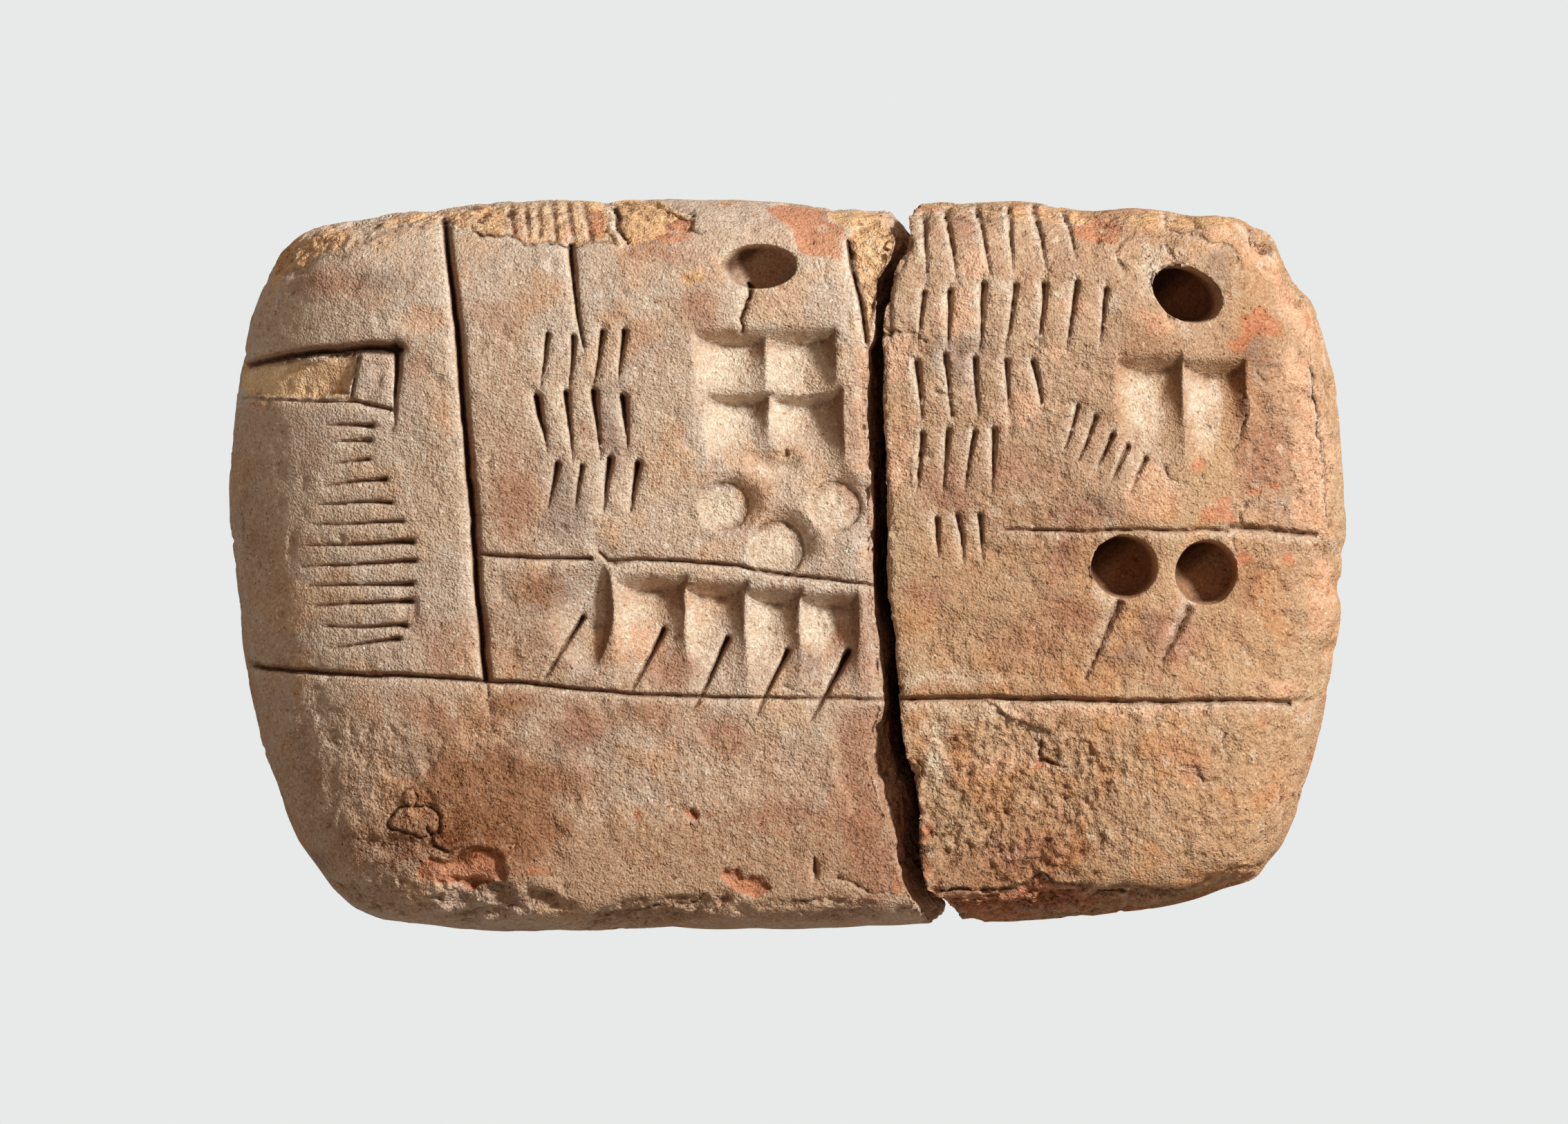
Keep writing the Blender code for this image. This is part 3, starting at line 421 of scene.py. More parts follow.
# Broad shallow hollows: middle, half sizes, turn and depth.
DIPS = [
    ((-22.3, 14.7), (2.1, 1.0), -6, 0.22),
    ((-23.6, -12.6), (1.6, 0.9), -30, 0.20),
    ((-22.0, -11.4), (0.8, 0.6), -30, 0.16),
    ((-24.2, -17.0), (1.2, 0.8), 20, 0.20),
    ((-25.2, -20.1), (0.9, 0.5), -20, 0.20),
    ((-20.0, -20.2), (1.0, 0.7), 0, 0.30),
    ((-17.2, -20.0), (1.2, 0.7), -30, 0.30),
    ((-12.0, -11.5), (1.6, 1.1), 30, 0.12),
    ((-11.2, 0.9), (1.0, 0.7), -40, 0.16),
    ((-15.3, 4.6), (2.4, 5.0), 0, 0.10),
    ((1.7, -18.5), (0.3, 0.8), 0, 0.30),
    ((22.3, 17.9), (1.6, 1.6), 0, 0.12),
    ((17.0, -14.0), (2.0, 1.4), 0, 0.18),
    ((10.0, -18.0), (2.0, 1.2), 0, 0.15),
    ((25.6, -11.6), (1.1, 1.3), 0, 0.10),
]

# Thin plates of clay that stand proud: middle, half sizes, turn and height.
PLATES = [
    ((-22.45, -15.5), (1.45, 0.95), -5, 0.13),
    ((-22.7, -14.0), (0.35, 0.4), 0, 0.12),
]

# The fan of narrow grooves at the upper edge, the notch beside it and the nick over the row of
# scoops: points, then width and depth at the start and the end.
FAN = [
    ((-16.75, 22.3), (-16.6, 20.15)), ((-15.85, 22.3), (-15.7, 20.0)), ((-15.1, 22.3), (-15.0, 19.9)),
    ((-14.3, 22.3), (-14.0, 19.75)), ((-13.4, 22.3), (-12.9, 19.7)), ((-12.4, 22.3), (-11.8, 19.6)),
]
FAN_SIZES = ((0.62, 0.34), (0.5, 0.28))
NOTCH = [(-10.95, 22.6), (-10.5, 21.4), (-10.1, 20.5), (-9.7, 19.6)]
NOTCH_SIZES = ((0.9, 1.1), (0.3, 0.4))
NICK = [(-11.4, 0.75), (-10.9, 0.35), (-10.4, 0.1)]
NICK_SIZES = ((0.2, 0.2), (0.5, 0.4))

# Coloured places, as middle, half sizes and turn. Rust is the orange-red inside of the clay.
RUST = [
    ((-11.5, 20.5), (0.6, 1.0), 12), ((-13.4, 20.1), (0.4, 0.6), 0), ((-16.2, 20.2), (0.6, 0.4), 0),
    ((-30.9, 18.2), (1.4, 0.4), 55), ((-15.2, -18.5), (0.5, 0.3), 0), ((-9.0, -14.9), (0.25, 0.2), 0),
    ((-4.8, -15.0), (0.3, 0.2), 0), ((-7.0, 19.7), (1.1, 0.25), -10), ((-32.9, 9.7), (0.9, 0.2), 0),
    ((26.0, 2.9), (1.2, 0.45), 0), ((26.6, 3.9), (0.5, 0.35), 0), ((27.7, 0.2), (0.6, 0.5), 0),
    ((15.2, -12.0), (0.85, 0.4), 24), ((33.3, 10.4), (0.35, 1.1), 12),
    ((30.3, 0.2), (0.4, 0.4), 0), ((29.5, 4.9), (0.25, 0.25), 0),
    ((6.7, -19.0), (0.35, 1.3), -8), ((8.2, -18.6), (0.4, 0.8), 0),
    ((30.4, 17.8), (0.6, 0.5), -50), ((31.8, 15.0), (0.3, 0.9), 22), ((-31.6, -12.4), (0.3, 0.6), 0),
]
OCHRE = [
    ((14.5, 21.4), (4.6, 0.5), -4), ((24.0, 21.0), (4.0, 0.6), -4), ((-5.8, 17.4), (0.8, 0.5), 40),
]
ASHY = [
    ((12.5, 15.0), (8.0, 7.5), 0), ((14.0, 6.5), (8.5, 5.0), 0), ((21.0, 13.5), (6.0, 7.0), 0),
    ((21.6, 9.4), (2.6, 3.4), 0), ((-4.5, -18.6), (13.0, 3.2), 0), ((30.2, 7.5), (2.0, 9.0), 0),
]
STAIN = [
    [(-23.0, -13.8), (-22.2, -13.3), (-21.9, -12.6), (-21.3, -12.0), (-21.1, -11.2), (-20.9, -10.2),
     (-20.0, -10.9), (-19.2, -11.3), (-18.6, -11.3), (-18.0, -10.8), (-17.0, -11.3), (-16.2, -11.2),
     (-15.0, -11.6), (-14.2, -11.9), (-12.4, -13.2), (-14.2, -14.4), (-12.6, -15.9), (-14.0, -17.4),
     (-15.4, -18.6), (-16.4, -19.0), (-17.1, -18.6), (-17.2, -17.4), (-19.0, -17.2), (-20.6, -17.3),
     (-21.4, -16.6), (-20.8, -15.4), (-21.5, -14.7), (-22.8, -14.4)],
    ((-9.6, -8.9), (1.2, 0.45), -6), ((-15.0, -1.4), (1.0, 0.8), 0),
    ((-16.6, -8.6), (1.6, 0.9), 20),
]
BLUSH = [
    ((4.9, -17.0), (1.4, 3.6), 6), ((4.8, -12.0), (1.1, 2.6), 0), ((3.2, -4.6), (0.5, 2.6), 0),
    ((4.6, -5.0), (0.5, 3.2), 0),
    ((-21.2, -9.2), (2.2, 1.0), -20), ((-3.6, -10.6), (1.8, 1.0), -30), ((-0.6, -15.2), (2.2, 0.9), 10),
    ((-8.0, 19.0), (2.6, 0.7), -8), ((-5.2, 15.6), (0.9, 1.4), 0), ((4.2, 8.0), (0.5, 2.6), -4),
    ((-12.6, -9.6), (1.6, 1.2), 30), ((16.6, 0.2), (0.9, 2.0), -30), ((17.0, -3.0), (1.4, 0.8), -20),
    ((9.8, 4.4), (1.8, 1.2), -40), ((23.4, -4.0), (1.6, 1.8), 0), ((8.6, -1.8), (1.6, 0.9), 0),
    ((-27.6, 16.9), (2.4, 0.8), -10), ((14.2, -17.4), (2.6, 1.0), 10), ((10.6, 20.2), (1.6, 0.8), 0),
    ((28.6, 6.6), (1.6, 2.2), 0), ((18.0, 2.8), (1.6, 0.7), -6), ((-7.0, -6.2), (1.4, 1.1), 0),
    ((-31.8, -15.0), (0.7, 2.6), 24), ((13.4, 6.0), (1.6, 1.0), 0), ((-16.6, 3.6), (1.2, 2.4), 0),
]
SALMON = [
    ((31.9, 5.6), (1.3, 5.0), 2), ((32.4, -2.0), (0.7, 2.6), 0), ((12.4, -12.0), (1.8, 0.5), 20),
    ((-30.6, 9.75), (3.4, 0.3), -2), ((19.0, -8.8), (6.0, 0.35), -1), ((30.0, -7.4), (1.6, 0.5), 0),
    ((4.6, 11.0), (0.4, 3.4), 0), ((10.4, 15.2), (1.2, 1.6), 0), ((14.0, 9.4), (1.4, 1.0), 30),
    ((22.2, 14.6), (1.4, 0.7), -30), ((16.4, 13.0), (0.9, 0.6), 0), ((17.6, 15.8), (0.9, 0.4), -15),
    ((-21.9, 14.8), (1.6, 0.7), -4), ((-8.6, -4.6), (1.0, 1.2), 0),
]
CREAM = [
    ((-3.6, 11.9), (1.7, 1.3), 0), ((0.1, 11.8), (1.2, 1.4), 0), ((-3.6, 8.4), (1.4, 1.5), 0),
    ((-0.1, 8.6), (0.9, 1.0), 0), ((-0.9, 5.7), (1.4, 0.45), 0), ((-9.0, -3.4), (1.2, 1.6), 0),
    ((-5.2, -3.6), (1.0, 2.0), 0), ((-1.6, -4.0), (0.9, 2.0), 0), ((1.9, -3.8), (0.9, 1.6), 0),
    ((21.6, 9.4), (1.1, 2.4), 6), ((25.2, 9.4), (1.0, 2.2), 4), ((-22.3, 14.7), (1.8, 0.6), -6),
    ((-4.0, 3.4), (1.2, 1.1), 0), ((-1.0, 0.9), (1.2, 1.1), 0), ((2.6, 3.4), (1.1, 1.1), 0),
    ((9.0, -11.4), (0.8, 2.2), 0), ((22.0, 17.7), (0.7, 1.3), 0), ((11.0, -8.9), (2.4, 0.25), 0),
    ((9.6, -6.9), (2.0, 0.3), 0),
]
SMOKE = [
    ((18.3, 3.2), (1.5, 0.7), 0), ((16.3, 0.6), (0.6, 0.8), 0), ((22.0, -3.7), (0.7, 0.9), 0),
    ((20.8, -5.3), (0.8, 0.5), 0), ((-13.2, -10.9), (1.4, 0.8), 40), ((-14.0, -1.6), (1.6, 1.0), 20),
    ((10.5, 12.8), (1.8, 1.6), 0), ((1.2, -6.0), (0.9, 0.8), 0), ((30.9, 4.1), (0.5, 0.4), 0),
    ((26.2, 18.0), (0.7, 1.2), 10), ((28.4, 12.6), (0.8, 1.2), 20), ((-24.6, 17.2), (1.6, 0.8), 0),
    ((-13.4, 3.4), (1.4, 2.2), 0), ((-10.6, 8.4), (0.9, 2.2), 0), ((-16.8, -12.4), (2.0, 0.9), -20),
    ((-22.4, -11.2), (0.9, 0.5), -30), ((-28.4, -18.2), (0.7, 0.5), 30), ((9.4, 4.2), (1.0, 0.8), 0),
    ((-20.0, -20.4), (0.9, 0.5), 0), ((-17.0, -20.2), (1.2, 0.5), -20), ((17.4, 3.0), (0.8, 0.5), 0),
]

# What the field of a colour falls to outside its places, in mm.
OUTSIDE = -2.5
COLOUR_PLACES = {
    "ashy": ASHY, "smoke": SMOKE, "stain": STAIN, "blush": BLUSH, "ochre": OCHRE, "cream": CREAM,
    "salmon": SALMON, "rust": RUST,
}

# Broad lighter and darker areas of the clay, partly its own tone and partly painted light and shade
# on slopes and hollows that the lamp lights or leaves in shadow: middle, half sizes and how much
# lighter.
TONES_AND_PAINTED_LIGHT = [
    ((-17.0, 6.0), (3.2, 6.5), -0.20), ((-15.5, -4.0), (3.0, 3.4), -0.26),
    ((-22.0, -14.0), (9.0, 8.0), -0.26), ((-6.0, -15.0), (14.0, 8.0), -0.18),
    ((14.0, -19.2), (6.5, 1.6), -0.25), ((-21.8, -16.8), (5.5, 2.0), -0.42),
    ((-19.8, -18.6), (2.6, 0.9), 0.25), ((4.0, -16.0), (3.5, 8.0), -0.14),
    ((-8.0, -6.0), (7.0, 4.0), -0.14), ((16.0, 1.0), (6.0, 6.0), -0.14),
    ((16.0, -5.0), (6.0, 3.0), -0.10), ((15.0, -17.0), (9.0, 4.0), -0.16),
    ((31.0, 0.0), (4.0, 17.0), -0.10), ((28.0, 13.0), (1.8, 6.5), -0.32),
    ((27.0, -12.0), (4.0, 7.0), -0.12), ((21.8, 13.6), (2.6, 1.8), -0.28),
    ((27.6, -0.8), (1.5, 2.2), -0.28), ((-22.5, -20.3), (6.0, 1.9), 0.10),
    ((-9.0, 15.0), (4.0, 5.0), -0.08), ((-4.0, -6.0), (9.0, 2.0), 0.05),
    ((20.5, -5.4), (2.4, 1.4), -0.12), ((-31.2, 11.1), (2.6, 1.2), 0.55),
    ((11.0, 16.0), (5.0, 6.0), 0.08), ((5.2, 16.5), (1.6, 5.0), 0.12),
    ((16.0, 10.0), (4.0, 4.0), 0.06), ((-28.0, 10.0), (5.0, 6.0), 0.10),
    ((-1.0, 11.0), (3.0, 3.0), 0.10),
]


# ---------------------------------------------------------------------------------------------
# Small tools on arrays of points.
# ---------------------------------------------------------------------------------------------

def smooth(low, high, values):
    """0 at low, 1 at high and beyond, and an easy rise between them."""
    part = np.clip((values - low) / (high - low), 0.0, 1.0)
    return part * part * (3.0 - 2.0 * part)


def cloud(points, grain, seed):
    """Random values from -1 to 1 that change smoothly over the given size."""
    size = 64
    table = np.random.default_rng(seed).uniform(-1.0, 1.0, size**3).astype(np.float32)
    place = points / grain
    cell = np.floor(place)
    part = (place - cell).astype(np.float32)
    part = part * part * (3 - 2 * part)
    cell = cell.astype(np.int64)
    total = np.zeros(len(points), np.float32)
    for corner in range(8):
        weight = np.ones(len(points), np.float32)
        index = np.zeros(len(points), np.int64)
        for axis in range(3):
            far = (corner >> axis) & 1
            weight *= part[:, axis] if far else 1 - part[:, axis]
            index = index * size + (cell[:, axis] + far) % size
        total += weight * table[index]
    return total


def rough(points, grain, octaves, seed):
    """Clouds of ever finer grain added up, mostly within -1 to 1."""
    total = np.zeros(len(points), np.float32)
    for octave in range(octaves):
        total += cloud(points, grain * 0.5**octave, seed + octave) * 0.55**octave
    return total


def flat(xy):
    """Points on the face as points in space, for the clouds."""
    return np.column_stack((xy, np.zeros(len(xy))))


def shaken(xy, amount, grain, octaves, seed):
    """Points on the face moved about a little, so that what is drawn over them comes out uneven."""
    place = flat(xy)
    aside = rough(place, grain, octaves, seed)
    up = rough(place, grain, octaves, seed + 10)
    return xy + amount * np.column_stack((aside, up))


def near(xy, points, margin):
    """Which of the points lie in the box round a mark."""
    points = np.atleast_2d(np.array(points, float))
    low = points.min(0) - margin
    high = points.max(0) + margin
    return np.flatnonzero(np.all((xy > low) & (xy < high), axis=1))


def oval(xy, middle, half_sizes, turn):
    """Distance from the middle of a turned oval, as a share of its half sizes."""
    turn = math.radians(turn)
    x, y = (xy - middle).T
    along = (x * math.cos(turn) + y * math.sin(turn)) / half_sizes[0]
    across = (y * math.cos(turn) - x * math.sin(turn)) / half_sizes[1]
    return np.hypot(along, across)


def along_path(xy, points):
    """For each point: distance to the path, signed distance (left is positive), share along it,
    and the way the path runs there."""
    points = np.array(points, float)
    lengths = np.hypot(*(points[1:] - points[:-1]).T)
    run = np.append(0.0, np.cumsum(lengths))
    distance = np.full(len(xy), 99.0)
    signed = np.zeros(len(xy))
    share = np.zeros(len(xy))
    ways = np.zeros((len(xy), 2))
    for step, (start, end) in enumerate(zip(points[:-1], points[1:])):
        way = (end - start) / lengths[step]
        reach = np.clip((xy - start) @ way, 0.0, lengths[step])
        off = xy - start - reach[:, None] * way
        gap = np.hypot(*off.T)
        side = np.sign(way[0] * off[:, 1] - way[1] * off[:, 0])
        closer = gap < distance
        distance[closer] = gap[closer]
        signed[closer] = (gap * side)[closer]
        share[closer] = (run[step] + reach[closer]) / run[-1]
        ways[closer] = way
    return distance, signed, share, ways


def inside_of(xy, corners):
    """How far inside a many-cornered place each point is; outside it is below 0."""
    distance = along_path(xy, list(corners) + [corners[0]])[0]
    x, y = xy.T
    odd = np.zeros(len(xy), bool)
    for (x0, y0), (x1, y1) in zip(corners, list(corners[1:]) + [corners[0]]):
        if y0 != y1:
            crossing = x0 + (y - y0) * (x1 - x0) / (y1 - y0)
            odd ^= ((y0 > y) != (y1 > y)) & (x < crossing)
    return np.where(odd, distance, -distance)


# The outline as a radius for every quarter of a degree: as it is, with only its corners eased,
# and with its small bays smoothed out. Each is blended over so many directions.
DIRECTIONS = np.linspace(0.0, math.tau, 1441)
CORNER_BLEND = 7
BAY_BLEND = 25


def blended(ring, span):
    """A ring of values, each blended with its neighbours, with the first repeated at the end."""
    weights = np.hanning(span)
    side = span // 2
    ring = np.concatenate((ring[-side:], ring, ring[:side]))
    ring = np.convolve(ring, weights / weights.sum(), mode="valid")
    return np.append(ring, ring[0])


def outline_radii():
    x, y = np.array(OUTLINE).T
    turn = np.arctan2(y, x) % math.tau
    order = np.argsort(turn)
    turn, reach = turn[order], np.hypot(x, y)[order]
    turn = np.concatenate((turn - math.tau, turn, turn + math.tau))
    ring = np.interp(DIRECTIONS, turn, np.tile(reach, 3))[:-1]
    return blended(ring, CORNER_BLEND), blended(ring, BAY_BLEND)


SHARP_RADII, EVEN_RADII = outline_radii()


def plan_radius(x, y, radii):
    """How far the tablet's widest line lies from the middle, in each point's direction."""
    return np.interp(np.arctan2(y, x) % math.tau, DIRECTIONS, radii) - RIM_ROOM


def squareness(shape, x, y):
    """How square the section is in each point's direction, from that along the tablet and those
    across it towards its upper and lower edge."""
    turn = np.arctan2(y * LENGTH, x * WIDTH)
    along, upper, lower = shape
    across = np.sin(turn) ** 2
    below = np.where(y < 0, lower - upper, 0.0) * across**2
    return along * np.cos(turn) ** 2 + upper * across + below


def face_height(x, y):
    """The height of the unmarked face."""
    share = np.clip(np.hypot(x, y) / plan_radius(x, y, EVEN_RADII), 0.0, 1.0)
    return WAIST + FACE_RISE * np.sqrt(1.0 - share ** squareness(FACE_SQUARENESS, x, y))


# ---------------------------------------------------------------------------------------------
# Marks pressed into the face.
# ---------------------------------------------------------------------------------------------

# How unsteady a line drawn by hand is, and how ragged a crack or the edge of a flake is, in mm.
UNSTEADY = 0.06
RAGGED = 0.24

# On this side of a mark, towards the lamp, flakes are deepest, the wall of a groove gets the
# most painted shade and that of a deep hole the least. The lip on the other side of a groove is
# worn down and gets a painted highlight.
LEANING = np.array([0.87, 0.5])

# The side of the deep holes where the painted shadow is blackest.
BLACK_SIDE = np.array([-0.6, 0.8])

# The small fragment starts here, and its marks get this share of the painted dirt and shadow.
SMALL_SIDE = 5.9
SMALL_DARK_SHARE = 0.42

# How far the lip of a groove is worn down beside it, and how far its painted highlight reaches, in mm.
WORN_REACH = 0.42
HIGHLIGHT_REACH = 0.28

# The ground round a deep hole sinks a little towards it: how far round it, and how deep.
HOLE_RIM = 0.7
HOLE_RIM_DEPTH = 0.28

# How far, and over what width, the large fragment's edge is worn round along the break.
BREAK_WEAR = 0.26
BREAK_WEAR_REACH = 0.65


class Relief:
    """The marked face: how deep it is pressed, grooved and torn at each point."""

    def __init__(self, xy):
        self.xy = shaken(xy, UNSTEADY, 1.8, 3, 11)
        self.ragged = shaken(xy, RAGGED, 1.2, 4, 31)
        self.pressed = np.zeros(len(xy))
        self.grooved = np.zeros(len(xy))
        self.lowered = np.zeros(len(xy))
        self.raised = np.zeros(len(xy))
        self.dirt_and_shadow = np.zeros(len(xy))
        self.walls = np.zeros(len(xy))
        self.lip_highlight = np.zeros(len(xy))

    def groove(self, points, start, end, shoulder=0.14, ragged=False, dark_share=1.0):
        """A groove along points. Start and end are its width and depth there, shoulder is how far
        its lip is worn down, and dark_share is the share of the usual painted dirt and shadow it gets."""
        source = self.ragged if ragged else self.xy
        where = near(source, points, 1.4)
        distance, signed, share, ways = along_path(source[where], points)
        half = (start[0] + (end[0] - start[0]) * share) / 2
        deep = start[1] + (end[1] - start[1]) * share

        # The deepest line lies a little off the middle.
        facing = ways[:, 0] * LEANING[1] - ways[:, 1] * LEANING[0]
        core = -0.15 * half * facing
        rest = np.where(signed > core, half - core, half + core)
        inner = np.clip(1.0 - np.abs(signed - core) / rest, 0.0, 1.0)
        depth = deep * (0.55 * inner + 0.45 * inner**2.5)
        self.grooved[where] = np.maximum(self.grooved[where], depth)

        # Dirt and painted shadow are black along the bottom, and painted shade is brown up the walls,
        # most on the wall turned away from the lamp.
        held = dark_share * np.where(self.xy[where, 0] > SMALL_SIDE, SMALL_DARK_SHARE, 1.0)
        strong = held * np.clip(deep / 0.8, 0.3, 1.0)
        turned_away = np.clip(0.5 + np.sign(signed - core) * facing, 0.0, 1.0)
        shade_onset = 0.25 + 0.25 * turned_away
        black = inner**0.8 if ragged else np.clip((inner - shade_onset) / 0.35, 0.0, 1.0)
        self.dirt_and_shadow[where] = np.maximum(self.dirt_and_shadow[where], black * strong)
        brown = smooth(0.0, 0.25, inner) * (0.3 + 0.7 * turned_away) * np.clip(deep / 0.25, 0.4, 1.0)
        self.walls[where] = np.maximum(self.walls[where], brown)

        # The lip on the other side is worn down, and painted pale as a highlight.
        far_side = np.clip(-np.sign(signed) * facing, 0.0, 1.0)
        outside = np.clip(distance - half, 0.0, None)
        heavy = far_side * np.clip(deep / 0.5, 0.0, 1.0)
        soft = shoulder * heavy * np.exp(-((outside / WORN_REACH) ** 2))
        self.lowered[where] = np.maximum(self.lowered[where], soft)
        pale = heavy * np.exp(-((outside / HIGHLIGHT_REACH) ** 2))
        self.lip_highlight[where] = np.maximum(self.lip_highlight[where], pale)

    def scoop(self, head, width, length, depth, lean, skew, wall):
        """A long press: a sloping wall at its head and a round floor that rises to its tail."""
        lean = math.radians(lean)
        where = near(self.xy, head, length + 1.0)
        x, y = (self.xy[where] - head).T
        down = -y * math.cos(lean) + x * math.sin(lean)
        side = (x * math.cos(lean) + y * math.sin(lean)) / (width / 2)
        across = np.where(side > skew, (side - skew) / (1 - skew), (skew - side) / (1 + skew))
        section = np.clip(1.0 - across**2.0, 0.0, 1.0) ** 0.80
        floor = depth * section * np.clip((length - down) / (length - wall), 0.0, 1.1)
        slope = depth / wall
        soft = 0.16
        head_wall = soft * np.logaddexp(0.0, slope * (down - 0.08) / soft)
        mark = np.minimum(floor, head_wall)
        self.pressed[where] = np.maximum(self.pressed[where], mark)

    def bowl(self, middle, half_sizes, turn, depth, skew):
        """A lopsided hollow, gentle on one side and steep on the other."""
        where = near(self.xy, middle, max(half_sizes) + 0.5)
        turn = math.radians(turn)
        x, y = (self.xy[where] - middle).T
        side = (x * math.cos(turn) + y * math.sin(turn)) / half_sizes[0]
        along = (y * math.cos(turn) - x * math.sin(turn)) / half_sizes[1]
        across = np.where(side > skew, (side - skew) / (1 - skew), (skew - side) / (1 + skew))
        self.pressed[where] = np.maximum(
            self.pressed[where], depth * np.clip(1.0 - across**2 - along**2, 0.0, 1.0) ** 0.8
        )

    def flake(self, drop, corners):
        """A flat place where a flake has come off, with a crisp ragged edge on its deep side."""
        where = near(self.ragged, corners, 0.4)
        inside = inside_of(self.ragged[where], corners)
        middle = np.mean(corners, axis=0)
        half = np.abs((np.array(corners) - middle) @ LEANING).max()
        tilt = 0.25 + 0.75 * smooth(-1.0, 0.3, (self.ragged[where] - middle) @ LEANING / half)
        lost = drop * tilt * smooth(-0.06, 0.10, inside)
        self.lowered[where] = np.maximum(self.lowered[where], lost)

    def worn_break(self):
        """The large fragment's edge is worn round along the upper part of the break."""
        edge = np.array(LARGE_BREAK)
        x, y = self.xy.T
        gap = np.interp(y, edge[:, 1], edge[:, 0]) - x
        worn = BREAK_WEAR * np.exp(-((np.clip(gap, 0, None) / BREAK_WEAR_REACH) ** 2))
        worn = worn * smooth(-10.0, -7.0, y)
        self.lowered = np.maximum(self.lowered, np.where(gap > -1.0, worn, 0.0))

    def disc(self, middle, radius, depth, sink_x, sink_y):
        """The stylus set upright: a flat floor that sinks to one side, a crisp edge, and round the
        deep side a slope down to it."""
        where = near(self.xy, middle, radius + 1.2)
        x, y = (self.xy[where] - middle).T
        reach = np.hypot(x, y)
        held = np.minimum(1.0, radius / np.maximum(reach, 0.01))
        sink = sink_x * x + sink_y * y
        floor = np.clip(depth + sink * held, 0.0, None)
        inside = smooth(radius + 0.05, radius - 0.07, reach)
        deep_side = np.clip(0.3 + sink / math.hypot(sink_x, sink_y) / (reach + 0.01), 0.0, 1.0)
        slope = 0.7 * deep_side * np.clip(1.0 - (reach - radius) / (0.12 + 0.95 * floor), 0.0, 1.0)
        self.pressed[where] = np.maximum(self.pressed[where], floor * np.maximum(inside, slope))

    def dip(self, middle, half_sizes, turn, depth):
        """A broad soft hollow."""
        where = near(self.xy, middle, 1.6 * max(half_sizes))
        reach = oval(self.xy[where], middle, half_sizes, turn)
        self.lowered[where] = np.maximum(self.lowered[where], depth * smooth(1.25, 0.3, reach))

    def step(self, points, drop, reach):
        """An edge where a thin layer has come away from one side."""
        where = near(self.ragged, points, 3 * reach)
        distance, signed, share, _ = along_path(self.ragged[where], points)
        side = signed if drop > 0 else -signed
        ends = smooth(0.0, 0.12, share) * smooth(1.0, 0.88, share)
        level = smooth(-0.08, 0.06, side) * np.exp(-((np.clip(side, 0, None) / reach) ** 2))
        self.lowered[where] += abs(drop) * level * ends

    def plate(self, middle, half_sizes, turn, height):
        """A thin plate that stands proud, with a crack all round it painted dark as dirt and shadow."""
        where = near(self.ragged, middle, 1.8 * max(half_sizes))
        reach = oval(self.ragged[where], middle, half_sizes, turn)
        self.raised[where] = np.maximum(self.raised[where], height * smooth(1.06, 0.96, reach))
        moat = np.exp(-(((reach - 1.10) / 0.09) ** 2))
        self.lowered[where] = np.maximum(self.lowered[where], 2.2 * height * moat)
        self.dirt_and_shadow[where] = np.maximum(self.dirt_and_shadow[where], 0.65 * moat)

    def press_long(self):
        for scoop in SCOOPS:
            self.scoop(*scoop)
        for bowl in BOWLS:
            self.bowl(*bowl)
        return self

    def press_all(self):
        for middle, long_radius, short_radius, turn, *_ in HOLES:
            self.dip(middle, (long_radius + HOLE_RIM, short_radius + HOLE_RIM), turn, HOLE_RIM_DEPTH)
        for dip in DIPS:
            self.dip(*dip)
        self.press_long()
        for disc in DISCS:
            self.disc(*disc)
        self.worn_break()
        for _, drop, _, corners in FLAKES:
            self.flake(drop, corners)
        for step in STEPS:
            self.step(*step)
        for plate in PLATES:
            self.plate(*plate)
        for points, start, end in RULES:
            self.groove(points, RULE_OPENS * start, RULE_OPENS * end)
        for head, tail, blade in TALLY:
            self.groove([head, tail], TALLY_OPENS * blade, TALLY_TAIL, shoulder=0.10)
        for seed, rank in enumerate(RANKS):
            self.rank(seed, *rank)
        for points, *size in CRACKS:
            self.groove(points, size, CRACK_END * size, shoulder=0.0, ragged=True)
        for path in FAN:
            self.groove(path, *FAN_SIZES, shoulder=0.10, dark_share=0.45)
        self.groove(NOTCH, *NOTCH_SIZES, shoulder=0.12, ragged=True)
        self.groove(NICK, *NICK_SIZES)
        return self

    def rank(self, seed, first, step, count, reach, swell, width):
        """Strokes side by side, heavy at the head and light at the tail, no two quite alike."""
        chance = np.random.default_rng(RANK_SEED + seed)
        in_place, in_length, in_slant, in_width = RANK_SLIPS
        length = math.hypot(*reach)
        for place in range(count):
            slip = chance.uniform(-1.0, 1.0, 5)
            middle = np.array(first) + place * np.array(step) + in_place * slip[:2]
            bulge = math.sin(math.pi * (place + 0.5) / count)
            half = np.array(reach) * (length + swell * bulge) / length / 2 * (1 + in_length * slip[2])
            half = half + in_slant * slip[3] * np.array((-reach[1], reach[0])) / 2
            heavy = RANK_OPENS * width * (1 + in_width * slip[4])
            head = (heavy, RANK_DEPTH * heavy)
            self.groove([middle + half, middle - half], head, RANK_TAIL, shoulder=0.08)

    def depth(self):
        return self.pressed + self.grooved + self.lowered - self.raised


def leaves(points, grain, seed):
    """Ground that has come away in thin leaves: level terraces with crisp ragged edges."""
    terraces = 2.2
    value = terraces * rough(points, grain, 4, seed)
    level = np.floor(value)
    return (level + smooth(0.30, 0.60, value - level)) / terraces


def crumbs(points, grain, leaf, seed):
    """Round lumps and thin leaves together, from 0 at the highest to about 1 at the lowest."""
    lumps = 0.5 + 0.3 * rough(points, grain, 4, seed) + 0.3 * leaves(points, leaf, seed + 100)
    return np.clip(lumps, 0.0, 1.3)


